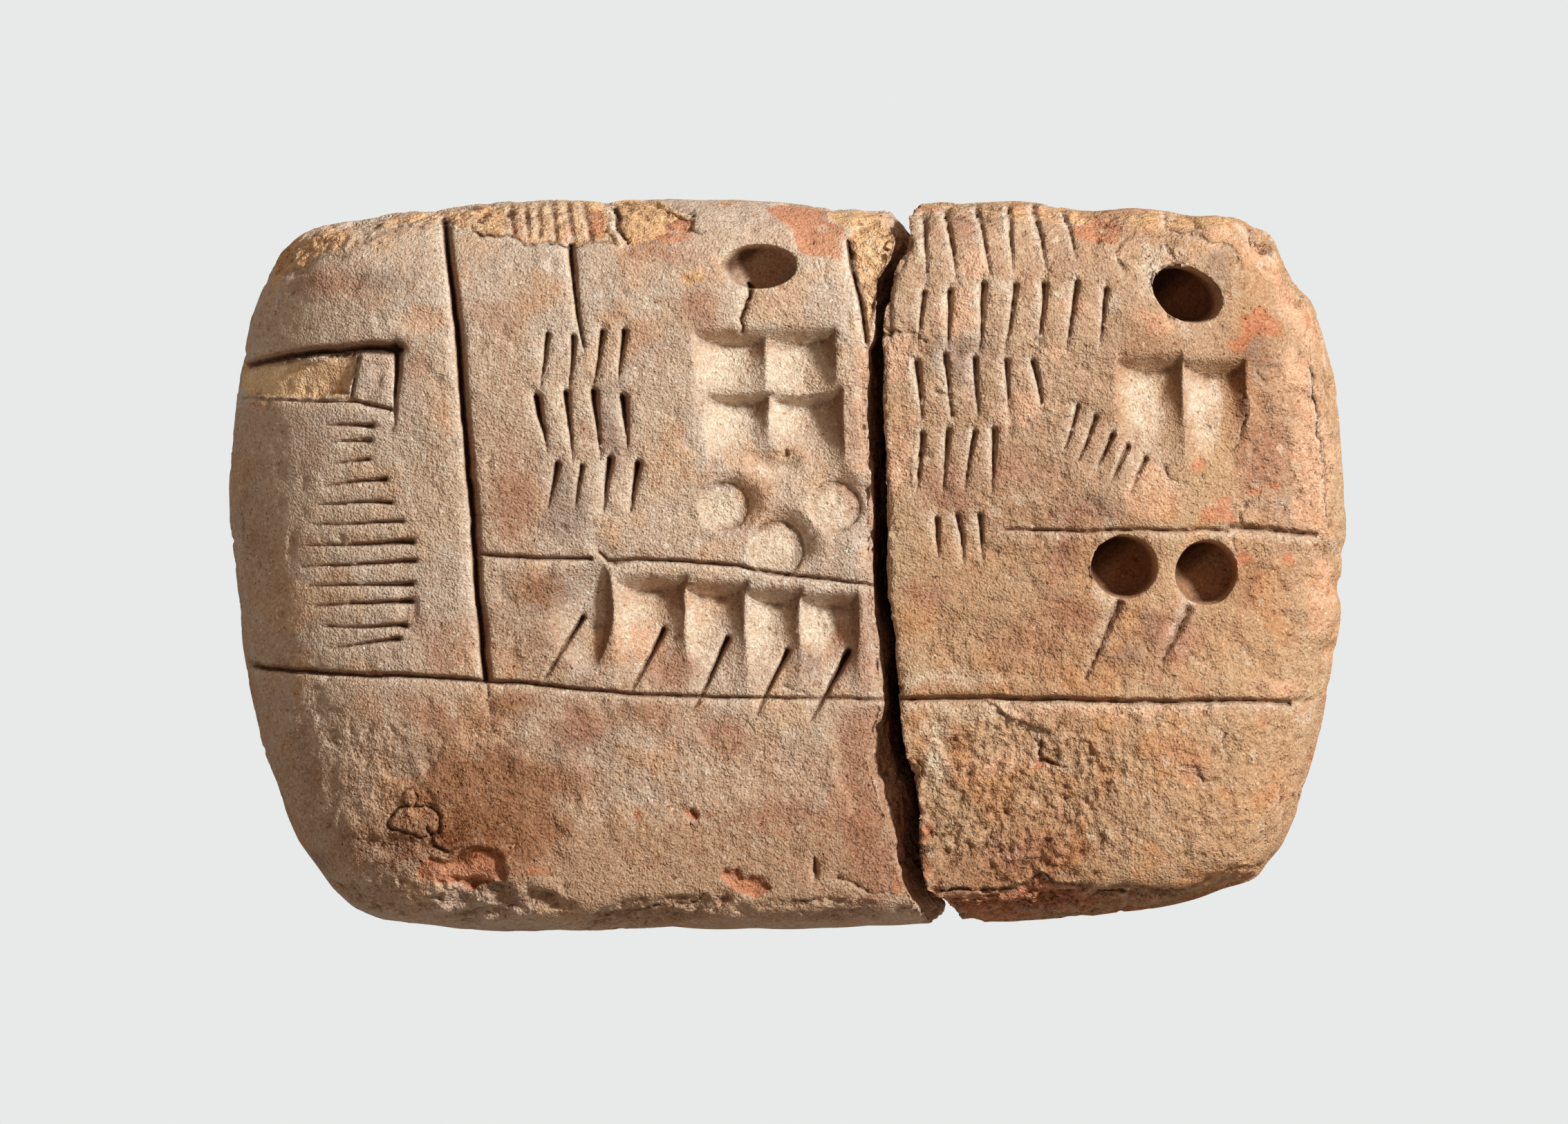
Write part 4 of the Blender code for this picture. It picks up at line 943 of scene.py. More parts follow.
def tear(points):
    """How deep the ground is torn or lumpy at each point, from 0 up, in the listed places."""
    total = np.zeros(len(points))
    for seed, (middle, half_sizes, turn, amount, grain) in enumerate(TORN):
        where = near(points[:, :2], middle, 1.5 * max(half_sizes) + 0.5)
        if not len(where):
            continue
        here = points[where]
        shift = 0.3 * rough(here, 1.5, 2, 300 + seed)
        inside = smooth(1.15, 0.8, oval(here[:, :2], middle, half_sizes, turn) + shift)
        lumps = crumbs(here, grain, 1.6 * grain, 400 + 7 * seed)
        total[where] = np.maximum(total[where], inside * amount * lumps)
    for seed, (_, drop, lumpy, corners) in enumerate(FLAKES):
        where = near(points[:, :2], corners, 0.2)
        if not len(where):
            continue
        here = points[where]
        inside = smooth(0.0, 0.35, inside_of(here[:, :2], corners))
        deepest = inside * lumpy * (0.10 + 0.5 * drop)
        total[where] = np.maximum(total[where], deepest * crumbs(here, 1.1, 1.8, 600 + 7 * seed))
    return total


# ---------------------------------------------------------------------------------------------
# The clay body.
# ---------------------------------------------------------------------------------------------

def points_of(piece):
    """The piece's vertices as an array."""
    values = np.zeros(len(piece.data.vertices) * 3, np.float32)
    piece.data.vertices.foreach_get("co", values)
    return values.reshape(-1, 3).astype(np.float64)


def normals_of(piece):
    values = np.zeros(len(piece.data.vertices) * 3, np.float32)
    piece.data.vertex_normals.foreach_get("vector", values)
    return values.reshape(-1, 3).astype(np.float64)


def set_points(piece, points):
    piece.data.vertices.foreach_set("co", points.astype(np.float32).ravel())
    piece.data.update()


def select_only(piece):
    bpy.ops.object.select_all(action="DESELECT")
    piece.select_set(True)
    bpy.context.view_layer.objects.active = piece


def fresh_cube(name, cuts):
    """A cube from -1 to 1, cut into a fine even grid."""
    bpy.ops.object.select_all(action="DESELECT")
    bpy.ops.mesh.primitive_cube_add(size=2.0)
    piece = bpy.context.object
    piece.name = name
    bpy.ops.object.mode_set(mode="EDIT")
    bpy.ops.mesh.select_all(action="SELECT")
    bpy.ops.mesh.subdivide(number_cuts=cuts)
    bpy.ops.object.mode_set(mode="OBJECT")
    return piece


def apply_modifier(piece, kind, **settings):
    select_only(piece)
    modifier = piece.modifiers.new(kind.lower(), kind)
    for key, value in settings.items():
        setattr(modifier, key, value)
    bpy.ops.object.modifier_apply(modifier=modifier.name)


def clay_cushion():
    """The whole cushion before the stylus: a gridded cube rounded to the outline and section."""
    piece = fresh_cube("cushion", CUSHION_CUTS)
    u, v, w = points_of(piece).T
    x, y = u * LENGTH, v * WIDTH
    above = w > 0
    rise = np.where(above, FACE_RISE, -BACK_DROP)
    power = np.where(above, squareness(FACE_SQUARENESS, x, y), squareness(BACK_SQUARENESS, x, y))
    cap = np.abs(w) > 1 - 1e-5
    cap_share = CAP_SHARE * np.maximum(np.abs(u), np.abs(v))
    tilt = np.abs(w) * np.arccos(CAP_SHARE ** (power / 2))
    share = np.where(cap, cap_share, np.cos(tilt) ** (2 / power))
    height = WAIST + rise * np.where(cap, np.sqrt(1 - cap_share**power), np.sin(tilt))
    angle = np.arctan2(y, x)
    even, sharp = plan_radius(x, y, EVEN_RADII), plan_radius(x, y, SHARP_RADII)
    detail = smooth(0.80, 0.97, share) * smooth(1.5, 5.0, height)
    reach = share * (even + (sharp - even) * detail)
    across = np.clip(reach * np.cos(angle), RIM_ROOM - LENGTH / 2, LENGTH / 2 - RIM_ROOM)
    along = np.clip(reach * np.sin(angle), RIM_ROOM - WIDTH / 2, WIDTH / 2 - RIM_ROOM)
    set_points(piece, np.column_stack((across, along, np.clip(height, 0, None))))
    return piece


def wall_of(edge, y, z):
    """Where one side of the break lies, at each height above the ground."""
    edge = np.array(edge)
    return np.interp(y, edge[:, 1], edge[:, 0]) + BREAK_LEAN * (THICKNESS - z)


def break_walls(y, z):
    """Both sides of the break, as rough as they are: the large fragment's and the small one's."""
    here = np.column_stack((np.zeros(len(y)), y, z))
    swing = BREAK_SWING * rough(here, 4.5, 3, 51) * smooth(1.0, 5.0, THICKNESS - z)
    bulge = np.array(LARGE_BULGE)
    swell = np.interp(y, bulge[:, 1], bulge[:, 0]) * smooth(0.2, 3.2, THICKNESS - 0.4 - z)
    large = wall_of(LARGE_BREAK, y, z) + swell + swing - BREAK_GRIT * np.abs(rough(here, 1.0, 3, 61))
    small = wall_of(SMALL_BREAK, y, z) + swing + BREAK_GRIT * np.abs(rough(here, 1.0, 3, 71))
    return large, np.maximum(small, large + NARROWEST_BREAK)


def break_gap():
    """The gap between the fragments, as a rough leaning slab that reaches right through."""
    piece = fresh_cube("break_gap", BREAK_CUTS)
    u, v, w = points_of(piece).T
    y = v * (WIDTH / 2 + 0.6)
    z = THICKNESS / 2 + w * (THICKNESS / 2 + 1.0)
    large, small = break_walls(y, z)
    set_points(piece, np.column_stack((large + (small - large) * (u + 1) / 2, y, z)))
    return piece


def stylus_tip(number, middle, long_radius, short_radius, turn, depth, shift):
    """The round stylus as it stood when it was pushed in."""
    reach = depth + STYLUS_ABOVE
    bpy.ops.object.select_all(action="DESELECT")
    bpy.ops.mesh.primitive_cone_add(vertices=72, radius1=TIP_SHARE, radius2=MOUTH_SHARE, depth=reach)
    piece = bpy.context.object
    piece.name = f"stylus_{number}"
    piece.data.vertices.foreach_set("select", [point.co.z < 0 for point in piece.data.vertices])
    for edge in piece.data.edges:
        edge.select = all(piece.data.vertices[k].co.z < 0 for k in edge.vertices)
    for face in piece.data.polygons:
        face.select = all(piece.data.vertices[k].co.z < 0 for k in face.vertices)
    bpy.ops.object.mode_set(mode="EDIT")
    bpy.ops.mesh.bevel(offset=TIP_ROUNDING, segments=6)
    bpy.ops.object.mode_set(mode="OBJECT")
    points = points_of(piece)
    turn = math.radians(turn)
    spread = points[:, :2] * (long_radius, short_radius)
    x = middle[0] + spread[:, 0] * math.cos(turn) - spread[:, 1] * math.sin(turn)
    y = middle[1] + spread[:, 0] * math.sin(turn) + spread[:, 1] * math.cos(turn)
    sunk = (reach / 2 - STYLUS_ABOVE - points[:, 2]) / depth
    top = float(face_height(np.array([middle[0]]), np.array([middle[1]]))[0])
    set_points(piece, np.column_stack((x + shift[0] * sunk, y + shift[1] * sunk, top - sunk * depth)))
    return piece


def raw_tablet():
    """The cushion with the deep holes and the break cut through it, as one even clay skin."""
    cutters = bpy.data.collections.new("clay_cutters")
    bpy.context.scene.collection.children.link(cutters)
    tools = [break_gap()]
    for number, hole in enumerate(HOLES, 1):
        tools.append(stylus_tip(number, *hole[:-1]))
    for tool in tools:
        for holder in list(tool.users_collection):
            holder.objects.unlink(tool)
        cutters.objects.link(tool)
    tablet = clay_cushion()
    tablet.name = "tablet"
    apply_modifier(
        tablet, "BOOLEAN", operation="DIFFERENCE", operand_type="COLLECTION", collection=cutters,
        solver="EXACT",
    )
    for tool in tools:
        bpy.data.objects.remove(tool)
    bpy.data.collections.remove(cutters)
    apply_modifier(tablet, "REMESH", mode="VOXEL", voxel_size=CLAY_GRAIN)
    return tablet


def face_share(z):
    """1 on the pressed face, fading to 0 on the sides below it."""
    return smooth(WAIST, WAIST + 2.4, z)


def broken_share(points):
    """1 on the walls of the break, 0 a little away from them."""
    x, y, z = points.T
    large, small = break_walls(y, z)
    return smooth(0.45, 0.22, np.minimum(np.abs(x - large), np.abs(x - small)))


# How far the skin of the clay is uneven, in mm: broad waves and small ones, dents in the sides,
# pits, crumbs, and the crumbled walls of the break.
BROAD_WAVE = 0.09
SMALL_WAVE = 0.04
SIDE_DENT = 0.20
PIT = 0.10
CRUMB = 0.06
BREAK_CRUMB = 0.30


def shape_clay(tablet):
    """Press the marks and give the clay its uneven, torn and crumbled surface."""
    points = points_of(tablet)
    normals = normals_of(tablet)
    marked = np.flatnonzero(points[:, 2] > WAIST + 0.2)
    here = points[marked]
    depth = Relief(here[:, :2]).press_all().depth()
    torn = tear(here)
    x, y, z = points.T
    uneven = BROAD_WAVE * rough(points, 9.0, 2, 101) + SMALL_WAVE * rough(points, 2.2, 3, 111)
    sides = 1.0 - smooth(WAIST + 1.0, WAIST + 5.0, z)
    dents = np.clip(rough(points, 1.8, 4, 121) - 0.1, 0.0, None)
    uneven = uneven - 0.03 - sides * SIDE_DENT * dents
    pits = PIT * smooth(0.50, 0.80, cloud(points, 0.75, 151))
    lumps = CRUMB * np.clip(rough(points, 1.0, 3, 141), 0.0, None)
    shown = 0.25 + 0.75 * smooth(1.5, 6.0, z)
    uneven = uneven - shown * (pits + lumps)
    crumbled = BREAK_CRUMB * broken_share(points) * np.clip(rough(points, 0.9, 4, 131), 0.0, None)
    inward = np.maximum(-uneven, 0.0) + crumbled
    inward[marked] += torn * (0.35 + 0.65 * smooth(0.2, 0.9, 1.0 - normals[marked, 2]))
    moved = points - normals * inward[:, None]
    moved[marked, 2] -= (depth + 0.65 * torn * normals[marked, 2]) * face_share(here[:, 2])
    moved[:, 2] = np.clip(moved[:, 2], 0.0, THICKNESS - TOP_ROOM)
    set_points(tablet, moved)


def part_fragments(tablet):
    """Split the tablet at the break. Crumbs that the break left are dropped."""
    select_only(tablet)
    bpy.ops.object.mode_set(mode="EDIT")
    bpy.ops.mesh.select_all(action="SELECT")
    bpy.ops.mesh.separate(type="LOOSE")
    bpy.ops.object.mode_set(mode="OBJECT")
    found = sorted(bpy.context.selected_objects, key=lambda o: -len(o.data.vertices))
    for crumb in found[2:]:
        bpy.data.objects.remove(crumb)
    left, right = sorted(found[:2], key=lambda o: points_of(o)[:, 0].mean())
    left.name, right.name = "large_clay_fragment", "small_clay_fragment"
    return left, right


def thin_out(piece, triangles):
    """Fewer triangles where the clay is plain, and fewest below the widest line."""
    count = sum(len(face.vertices) - 2 for face in piece.data.polygons)
    unseen = piece.vertex_groups.new(name="unseen")
    below = points_of(piece)[:, 2] < WAIST - 1.0
    unseen.add(np.flatnonzero(below).tolist(), 1.0, "REPLACE")
    unseen.add(np.flatnonzero(~below).tolist(), 0.05, "REPLACE")
    apply_modifier(
        piece, "DECIMATE", decimate_type="COLLAPSE", ratio=min(1.0, triangles / count),
        vertex_group="unseen", vertex_group_factor=FACE_CARE,
    )
    piece.vertex_groups.clear()
    points = points_of(piece)
    points[:, 2] = np.clip(points[:, 2], 0.0, THICKNESS - TOP_ROOM)
    set_points(piece, points)


def field(xy, kind):
    """How far inside the places of one colour each point is, in mm, from OUTSIDE to 1. A place is
    an oval, as middle, half sizes and turn, or a list of corners."""
    best = np.full(len(xy), OUTSIDE)
    for place in COLOUR_PLACES[kind] + [corners for colour, _, _, corners in FLAKES if colour == kind]:
        if isinstance(place, list):
            where = near(xy, place, 0.1 - OUTSIDE)
            inside = inside_of(xy[where], place)
        else:
            middle, half_sizes, turn = place
            where = near(xy, middle, max(half_sizes) + 0.1 - OUTSIDE)
            inside = (1.0 - oval(xy[where], middle, half_sizes, turn)) * min(half_sizes)
        best[where] = np.maximum(best[where], inside)
    return np.clip(best, OUTSIDE, 1.0)


def hole_shade(points):
    """How strongly the deep holes are painted brown and black as shade at each point."""
    xy = points[:, :2]
    brown = np.zeros(len(xy))
    black = np.zeros(len(xy))
    sunk = face_height(points[:, 0], points[:, 1]) - points[:, 2]
    for middle, long_radius, short_radius, turn, depth, _, shade_weight in HOLES:
        inside = smooth(1.5, 1.2, oval(xy, middle, (long_radius, short_radius), turn))
        shade_onset = 1.1 * np.clip((xy - middle) @ LEANING / short_radius, 0.0, 1.3)
        deep = inside * smooth(0.3, 0.8 * depth, sunk - shade_onset)
        brown = np.maximum(brown, shade_weight * deep)
        towards = (xy - middle) @ BLACK_SIDE / short_radius
        black = np.maximum(black, deep * smooth(-0.1, 1.0, towards))
    return brown, black


def colour_fields(piece):
    """Leave on the points what the materials need to know about them."""
    points = points_of(piece)
    share = face_share(points[:, 2])
    skin = smooth(WAIST - 2.0, WAIST + 2.5, points[:, 2] + 2.0 * rough(points, 2.5, 3, 161))
    xy = points[:, :2]
    relief = Relief(xy).press_all()
    # Broad lighter and darker areas, partly the clay's own tone and partly painted light and shade.
    tone_and_painted_light = np.zeros(len(xy))
    for middle, half_sizes, amount in TONES_AND_PAINTED_LIGHT:
        tone_and_painted_light += amount * np.exp(-1.2 * oval(xy, middle, half_sizes, 0) ** 2)
    # Painted shade in the deep holes: brown down into them, black on one side.
    brown, black = hole_shade(points)
    # Painted shade on the walls of the long presses that turn away from the lamp, and on the walls of
    # grooves.
    aside = np.array((0.1, 0.0))
    fall = Relief(xy - aside).press_long().pressed - Relief(xy + aside).press_long().pressed
    walls = smooth(0.35, 1.20, fall / (2 * aside[0]))
    fields = {
        "wall": np.maximum(walls, 0.9 * relief.walls) * share,
        "hollow": brown,
        "dirt_and_shadow": np.maximum(relief.dirt_and_shadow * share, black),
        "lip_highlight": relief.lip_highlight * share,
        "torn": np.clip(tear(points) / 0.3, 0, 1) * share,
        "broken": broken_share(points),
        "tone_and_painted_light": tone_and_painted_light,
    }
    for kind in COLOUR_PLACES:
        fields[kind] = field(relief.ragged, kind) * skin + OUTSIDE * (1 - skin)
    for name, values in fields.items():
        layer = piece.data.attributes.new(name, "FLOAT", "POINT")
        layer.data.foreach_set("value", values.astype(np.float32))


# ---------------------------------------------------------------------------------------------
# Materials. Lengths inside them are millimetres.
# ---------------------------------------------------------------------------------------------

class Nodes:
    """Adds nodes to one tree and joins them, so that a material reads as a list of steps."""

    def __init__(self, tree):
        self.tree = tree

    def give(self, socket, value):
        if isinstance(value, bpy.types.NodeSocket):
            self.tree.links.new(value, socket)
        else:
            socket.default_value = value

    def add(self, kind, given=None, **settings):
        node = self.tree.nodes.new(kind)
        for key, value in settings.items():
            setattr(node, key, value)
        for name, value in (given or {}).items():
            self.give(node.inputs[name], value)
        return node

    def sum(self, operation, a, b):
        node = self.add("ShaderNodeMath", operation=operation)
        self.give(node.inputs[0], a)
        self.give(node.inputs[1], b)
        return node.outputs[0]

    def place(self):
        """The point on the object, in millimetres."""
        where = self.add("ShaderNodeTexCoord").outputs["Object"]
        node = self.add("ShaderNodeVectorMath", {"Scale": 1.0 / MM}, operation="SCALE")
        self.give(node.inputs[0], where)
        return node.outputs[0]

    def noise(self, place, size, detail=3.0, roughness=0.55):
        """Soft random values round 0, mostly from -0.5 to 0.5, with spots about size across."""
        given = {"Vector": place, "Scale": 1.0 / size, "Detail": detail, "Roughness": roughness}
        return self.sum("SUBTRACT", self.add("ShaderNodeTexNoise", given).outputs["Fac"], 0.5)

    def ramp(self, value, low, high):
        node = self.add("ShaderNodeMapRange", interpolation_type="SMOOTHSTEP")
        self.give(node.inputs["Value"], value)
        self.give(node.inputs["From Min"], low)
        self.give(node.inputs["From Max"], high)
        return node.outputs["Result"]

    def mix(self, share, a, b, blend="MIX"):
        node = self.add("ShaderNodeMix", data_type="RGBA", blend_type=blend)
        self.give(node.inputs["Factor"], share)
        self.give(node.inputs["A"], a)
        self.give(node.inputs["B"], b)
        return node.outputs["Result"]

    def left_on_points(self, name):
        return self.add("ShaderNodeAttribute", attribute_name=name).outputs["Fac"]


def new_group(name, given, result):
    """An empty shader node group with its sockets: name and kind of each."""
    group = bpy.data.node_groups.new(name, "ShaderNodeTree")
    for in_out, sockets in (("INPUT", given), ("OUTPUT", result)):
        for socket, kind in sockets.items():
            group.interface.new_socket(socket, in_out=in_out, socket_type=f"NodeSocket{kind}")
    return group, Nodes(group), group.nodes.new("NodeGroupInput"), group.nodes.new("NodeGroupOutput")


# How many grains of sand lie side by side in a mm.
GRAINS_A_MM = 7.5


def sand_group():
    """The sandy grain of the clay: how light each grain is, and the height it gives."""
    group, nodes, _, result = new_group("sand_grain", {}, {"Speckle": "Float", "Height": "Float"})
    place = nodes.place()
    given = {"Vector": place, "Scale": GRAINS_A_MM, "Randomness": 1.0}
    grains = nodes.add("ShaderNodeTexVoronoi", given)
    sandy = nodes.noise(place, 0.14, 1.0, 0.5)
    coarser = nodes.noise(place, 0.34, 2.0, 0.6)
    lumps = nodes.noise(place, 0.9, 3.0, 0.6)
    wide = nodes.noise(place, 3.5, 3.0, 0.5)
    pits = nodes.ramp(nodes.noise(place, 0.5, 2.0, 0.5), 0.20, 0.27)
    coarse = nodes.sum("MAXIMUM", nodes.left_on_points("torn"), nodes.left_on_points("broken"))
    hue = nodes.add("ShaderNodeSeparateColor", {"Color": grains.outputs["Color"]})
    sparkle = nodes.ramp(hue.outputs[1], 0.93, 1.0)
    soot = nodes.ramp(hue.outputs[2], 0.94, 1.0)
    speckle = nodes.sum("SUBTRACT", hue.outputs[0], 0.5)
    for value, weight in ((sandy, 1.4), (coarser, 0.5), (sparkle, 1.2), (soot, -1.2), (pits, -0.9)):
        speckle = nodes.sum("ADD", speckle, nodes.sum("MULTIPLY", value, weight))
    nodes.give(result.inputs["Speckle"], speckle)
    knobbly = nodes.sum("ADD", 0.12, nodes.sum("MULTIPLY", coarse, 0.14))
    rougher = nodes.sum("ADD", 0.14, nodes.sum("MULTIPLY", coarse, 0.30))
    height = nodes.sum("MULTIPLY", grains.outputs["Distance"], -0.03)
    for value, weight in (
        (sandy, 0.10), (coarser, knobbly), (pits, -0.07), (lumps, rougher), (wide, 0.25),
    ):
        height = nodes.sum("ADD", height, nodes.sum("MULTIPLY", value, weight))
    nodes.give(result.inputs["Height"], height)
    return group


# How each colour lies on the clay, in order: colour, softness and raggedness of its edge in
# mm, and strength.
COATS = {
    "ashy": ((0.56, 0.345, 0.207, 1.0), 1.2, 3.0, 0.85),
    "smoke": ((0.33, 0.22, 0.165, 1.0), 0.7, 1.6, 0.60),
    "blush": ((0.50, 0.235, 0.135, 1.0), 0.7, 1.8, 0.70),
    "stain": ((0.42, 0.200, 0.095, 1.0), 0.90, 2.8, 0.85),
    "ochre": ((0.80, 0.452, 0.212, 1.0), 0.12, 0.7, 0.85),
    "cream": ((0.82, 0.63, 0.44, 1.0), 0.50, 1.2, 0.70),
    "salmon": ((0.80, 0.45, 0.265, 1.0), 0.35, 1.4, 0.70),
    "rust": ((0.65, 0.27, 0.135, 1.0), 0.08, 0.6, 0.88),
}

# How red and blue follow when the clay gets darker or lighter: dark clay is warm, light clay pale.
WARMTH = (0.62, 1.30)

# How much the mottling and the single grains lighten and darken the clay.
MOTTLE_SHARE = 0.60
SPECKLE_SHARE = 0.36

# The two clays: each has a plain colour, a greyer one and a warmer one.
CLAY_COLOURS = ((0.69, 0.481, 0.326, 1), (0.655, 0.479, 0.345, 1), (0.705, 0.448, 0.274, 1))
WARM_CLAY_COLOURS = ((0.60, 0.345, 0.182, 1), (0.58, 0.360, 0.200, 1), (0.63, 0.322, 0.152, 1))

# Broken clay, pale edges that are partly wear and partly painted highlight, painted highlights on
# lips, painted shade on the walls of marks and in the deep holes, earth in the torn ground, and dirt
# with painted shadow, black in the grooves.
BROKEN_COLOUR = (0.56, 0.33, 0.20, 1.0)
WEAR_AND_HIGHLIGHT_COLOUR = (0.72, 0.55, 0.39, 1.0)
LIP_HIGHLIGHT_COLOUR = (0.88, 0.70, 0.52, 1.0)
WALL_SHADE_COLOUR = (0.27, 0.135, 0.068, 1.0)
HOLE_SHADE_COLOUR = (0.24, 0.105, 0.050, 1.0)
EARTH_COLOUR = (0.27, 0.115, 0.058, 1.0)
DIRT_AND_SHADOW_COLOUR = (0.13, 0.058, 0.027, 1.0)
SOOT_AND_SHADOW_COLOUR = (0.05, 0.022, 0.012, 1.0)


def weathering_group():
    """Turns the plain clay colours into old clay: mottled, stained, dirty and worn, with
    painted light and shade.
    """
    group, nodes, given, result = new_group(
        "weathered_clay",
        {"Clay": "Color", "Greyer": "Color", "Warmer": "Color", "Speckle": "Float"},
        {"Color": "Color", "Roughness": "Float"},
    )
    place = nodes.place()
    ragged = nodes.noise(place, 1.1, 5.0, 0.68)
    mottle = nodes.noise(place, 1.7, 5.0, 0.70)
    broad = nodes.noise(place, 7.0, 2.0, 0.5)
    warm = nodes.noise(place, 3.6, 2.0, 0.5)
    smudge = nodes.noise(place, 4.6, 3.0, 0.55)

    def patch(name, soft, rag, strength):
        """Where a colour lies, with a ragged edge and an uneven strength."""
        value = nodes.sum("ADD", nodes.left_on_points(name), nodes.sum("MULTIPLY", ragged, rag))
        uneven = nodes.sum("ADD", strength, nodes.sum("MULTIPLY", mottle, 0.90))
        return nodes.sum("MULTIPLY", nodes.ramp(value, -soft, soft), uneven)

    # The clay itself, then the coloured places in it.
    colour = nodes.mix(nodes.ramp(broad, -0.12, 0.12), given.outputs["Clay"], given.outputs["Greyer"])
    colour = nodes.mix(nodes.ramp(warm, 0.0, 0.16), colour, given.outputs["Warmer"])
    smudged = nodes.sum("MULTIPLY", nodes.ramp(smudge, 0.02, 0.24), 0.5)
    colour = nodes.mix(smudged, colour, COATS["blush"][0])
    for name, (coat, soft, rag, strength) in COATS.items():
        colour = nodes.mix(patch(name, soft, rag, strength), colour, coat)

    # Broken and torn ground, painted highlights on lips, and painted shade on the walls of marks and in
    # the deep holes.
    broken = nodes.sum("MULTIPLY", nodes.left_on_points("broken"), 0.75)
    colour = nodes.mix(broken, colour, BROKEN_COLOUR)
    earth = nodes.ramp(nodes.noise(place, 0.8, 4.0, 0.65), 0.02, 0.16)
    earth = nodes.sum("MULTIPLY", earth, nodes.sum("MULTIPLY", nodes.left_on_points("torn"), 0.55))
    colour = nodes.mix(earth, colour, EARTH_COLOUR)
    lip_highlight = nodes.sum("MULTIPLY", nodes.left_on_points("lip_highlight"), 0.60)
    colour = nodes.mix(lip_highlight, colour, LIP_HIGHLIGHT_COLOUR)
    shaded = nodes.sum("MULTIPLY", nodes.left_on_points("wall"), 0.85)
    colour = nodes.mix(shaded, colour, WALL_SHADE_COLOUR)
    colour = nodes.mix(nodes.left_on_points("hollow"), colour, HOLE_SHADE_COLOUR)

    # Sharp edges are painted pale, as wear and as painted highlight. Corners are painted dark as shade,
    # and marks as dirt and painted shadow.
    sharp = nodes.add("ShaderNodeNewGeometry").outputs["Pointiness"]
    worn = nodes.ramp(nodes.sum("ADD", sharp, nodes.sum("MULTIPLY", mottle, 0.02)), 0.525, 0.58)
    colour = nodes.mix(nodes.sum("MULTIPLY", worn, 0.45), colour, WEAR_AND_HIGHLIGHT_COLOUR)
    corner = nodes.ramp(sharp, 0.485, 0.44)
    dirt_and_shadow = nodes.sum("ADD", nodes.left_on_points("dirt_and_shadow"), nodes.sum("MULTIPLY", ragged, 0.3))
    dirt_and_shadow = nodes.sum("MAXIMUM", nodes.ramp(dirt_and_shadow, 0.15, 0.75), nodes.sum("MULTIPLY", corner, 0.6))
    colour = nodes.mix(nodes.sum("MULTIPLY", dirt_and_shadow, 0.92), colour, DIRT_AND_SHADOW_COLOUR)
    # The blackest dirt and painted shadow, at the bottom of grooves and on one side of the deep holes.
    soot = nodes.ramp(nodes.left_on_points("dirt_and_shadow"), 0.78, 1.05)
    colour = nodes.mix(soot, colour, SOOT_AND_SHADOW_COLOUR)

    # Lighter and darker areas, partly the clay's own tone and partly painted light and shade, then
    # mottling and grains.
    shade = nodes.sum("ADD", 1.0, nodes.left_on_points("tone_and_painted_light"))
    shade = nodes.sum("ADD", shade, nodes.sum("MULTIPLY", mottle, MOTTLE_SHARE))
    shade = nodes.sum("ADD", shade, nodes.sum("MULTIPLY", given.outputs["Speckle"], SPECKLE_SHARE))
    shade = nodes.sum("MAXIMUM", shade, 0.05)
    tint = nodes.add("ShaderNodeCombineColor", {
        "Red": nodes.sum("POWER", shade, WARMTH[0]), "Green": shade,
        "Blue": nodes.sum("POWER", shade, WARMTH[1]),
    })
    colour = nodes.mix(1.0, colour, tint.outputs["Color"], "MULTIPLY")
    nodes.give(result.inputs["Color"], colour)
    nodes.give(result.inputs["Roughness"], nodes.sum("ADD", 0.88, nodes.sum("MULTIPLY", ragged, 0.12)))
    return group


def clay_material(name, sand, weathering, clay, greyer, warmer):
    """Dry, matt clay with a sandy skin."""
    material = bpy.data.materials.new(name)
    material.use_nodes = True
    nodes = Nodes(material.node_tree)
    shader = material.node_tree.nodes["Principled BSDF"]
    grain = nodes.add("ShaderNodeGroup", node_tree=sand)
    given = {"Clay": clay, "Greyer": greyer, "Warmer": warmer, "Speckle": grain.outputs["Speckle"]}
    skin = nodes.add("ShaderNodeGroup", given, node_tree=weathering)
    relief = {"Strength": 1.0, "Distance": MM, "Height": grain.outputs["Height"]}
    bump = nodes.add("ShaderNodeBump", relief)
    nodes.give(shader.inputs["Base Color"], skin.outputs["Color"])
    nodes.give(shader.inputs["Roughness"], skin.outputs["Roughness"])
    nodes.give(shader.inputs["Normal"], bump.outputs["Normal"])
    shader.inputs["Specular IOR Level"].default_value = 0.2
    return material


# ---------------------------------------------------------------------------------------------
# Floor, light and camera.
# ---------------------------------------------------------------------------------------------

# The floor: how it looks, how it throws light back, and its size and drop in metres.
FLOOR_COLOUR = (0.807, 0.823, 0.815, 1.0)
FLOOR_BOUNCE = (0.45, 0.45, 0.45, 1.0)
FLOOR_SIZE = 8.0
FLOOR_DROP = 0.02 * MM

# The lamp: brightness at the tablet, turn and lift in degrees, distance and size in metres, colour.
# Then the soft light from all sides.
KEY = 1.25
KEY_TURN = 30
KEY_LIFT = 35
KEY_DISTANCE = 0.75
KEY_SIZE = 0.10
KEY_COLOUR = (0.94, 1.0, 1.05)
AMBIENT = (0.262, 0.22, 0.184, 1.0)

# The camera sees this many mm across, round this place, at this height above the ground.
VIEW_WIDTH = 95.1
VIEW_MIDDLE = (-0.19, 0.15)
VIEW_LEVEL = 10.0
LENS = 600.0
FILM = 36.0


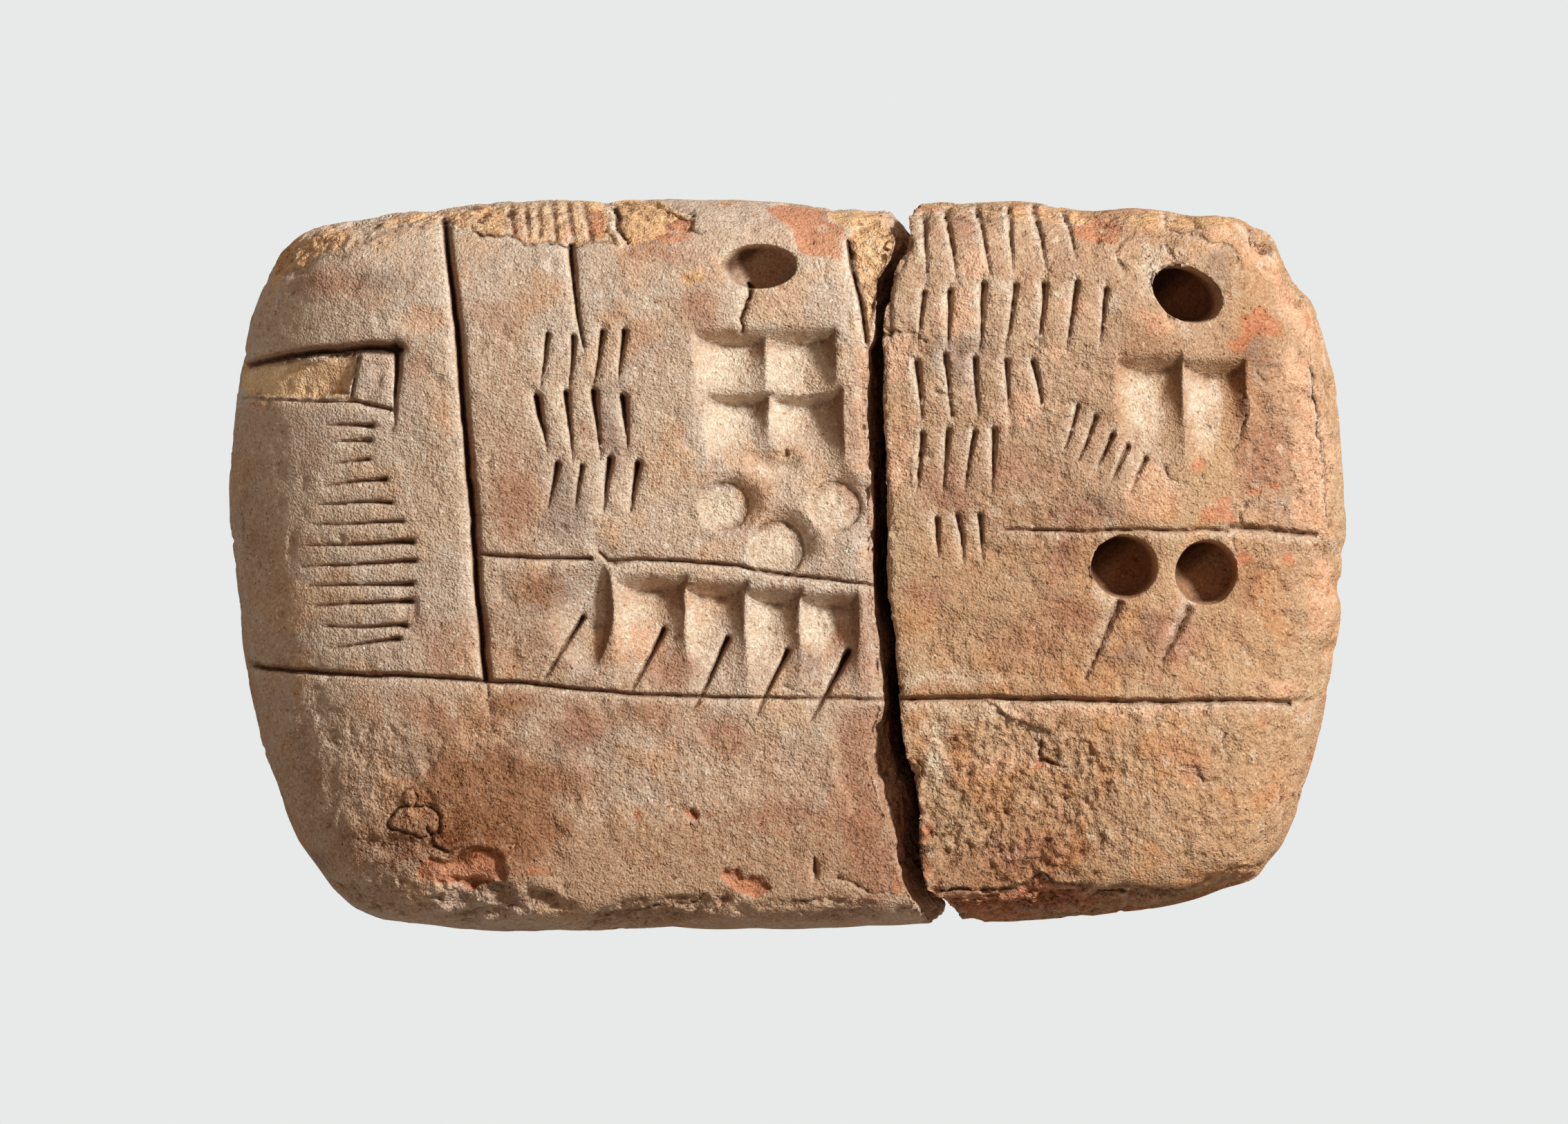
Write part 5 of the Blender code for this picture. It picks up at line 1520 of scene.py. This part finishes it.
def make_floor():
    """A plain pale floor. To the camera it looks evenly bright."""
    bpy.ops.object.select_all(action="DESELECT")
    bpy.ops.mesh.primitive_plane_add(size=FLOOR_SIZE, location=(0, 0, -FLOOR_DROP))
    floor = bpy.context.object
    floor.name = "floor"
    material = bpy.data.materials.new("pale_floor")
    material.use_nodes = True
    nodes = Nodes(material.node_tree)
    shader = material.node_tree.nodes["Principled BSDF"]
    shader.inputs["Base Color"].default_value = FLOOR_BOUNCE
    shader.inputs["Roughness"].default_value = 0.9
    glow = nodes.add("ShaderNodeEmission", {"Color": FLOOR_COLOUR})
    path = nodes.add("ShaderNodeLightPath")
    both = nodes.add("ShaderNodeMixShader")
    nodes.give(both.inputs[0], path.outputs["Is Camera Ray"])
    nodes.give(both.inputs[1], shader.outputs[0])
    nodes.give(both.inputs[2], glow.outputs[0])
    nodes.give(material.node_tree.nodes["Material Output"].inputs["Surface"], both.outputs[0])
    floor.data.materials.append(material)


def make_light():
    """A soft lamp from the upper right, and a soft room round the tablet."""
    out = math.cos(math.radians(KEY_LIFT)) * KEY_DISTANCE
    place = Vector((
        math.cos(math.radians(KEY_TURN)) * out,
        math.sin(math.radians(KEY_TURN)) * out,
        math.sin(math.radians(KEY_LIFT)) * KEY_DISTANCE,
    ))
    bpy.ops.object.light_add(type="AREA", location=place)
    key = bpy.context.object
    key.name = "key_light"
    key.data.shape = "DISK"
    key.data.size = KEY_SIZE
    key.data.color = KEY_COLOUR
    key.data.energy = KEY * (math.pi * KEY_DISTANCE) ** 2
    key.rotation_euler = place.to_track_quat("Z", "Y").to_euler()
    world = bpy.data.worlds.new("soft_room")
    bpy.context.scene.world = world
    world.use_nodes = True
    nodes = Nodes(world.node_tree)
    back = world.node_tree.nodes["Background"]
    path = nodes.add("ShaderNodeLightPath").outputs["Is Camera Ray"]
    nodes.give(back.inputs["Color"], nodes.mix(path, AMBIENT, FLOOR_COLOUR))


def make_camera():
    """Straight above the tablet, far away, with a long lens."""
    bpy.ops.object.camera_add()
    camera = bpy.context.object
    camera.name = "camera"
    camera.data.lens = LENS
    camera.data.sensor_width = FILM
    height = VIEW_LEVEL + VIEW_WIDTH * LENS / FILM
    camera.location = (VIEW_MIDDLE[0] * MM, VIEW_MIDDLE[1] * MM, height * MM)
    camera.rotation_euler = (0, 0, 0)
    camera.data.clip_start = 0.01
    camera.data.clip_end = 20.0
    bpy.context.scene.camera = camera
    bpy.context.scene.view_settings.view_transform = "Standard"


# ---------------------------------------------------------------------------------------------
# Put together.
# ---------------------------------------------------------------------------------------------

make_floor()
make_light()
make_camera()
sand = sand_group()
weathering = weathering_group()
clay = clay_material("clay", sand, weathering, *CLAY_COLOURS)
warm_clay = clay_material("warm_clay", sand, weathering, *WARM_CLAY_COLOURS)

tablet = raw_tablet()
shape_clay(tablet)
large, small = part_fragments(tablet)
for piece, node, slot, material in (
    (large, "large_fragment", "clay", clay),
    (small, "small_fragment", "warm_clay", warm_clay),
):
    thin_out(piece, TRIANGLES[node])
    colour_fields(piece)
    piece.data.transform(Matrix.Scale(MM, 4))
    piece.data.materials.clear()
    piece.data.materials.append(material)
    piece.data.shade_smooth()
    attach(piece, "root")
    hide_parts(node)
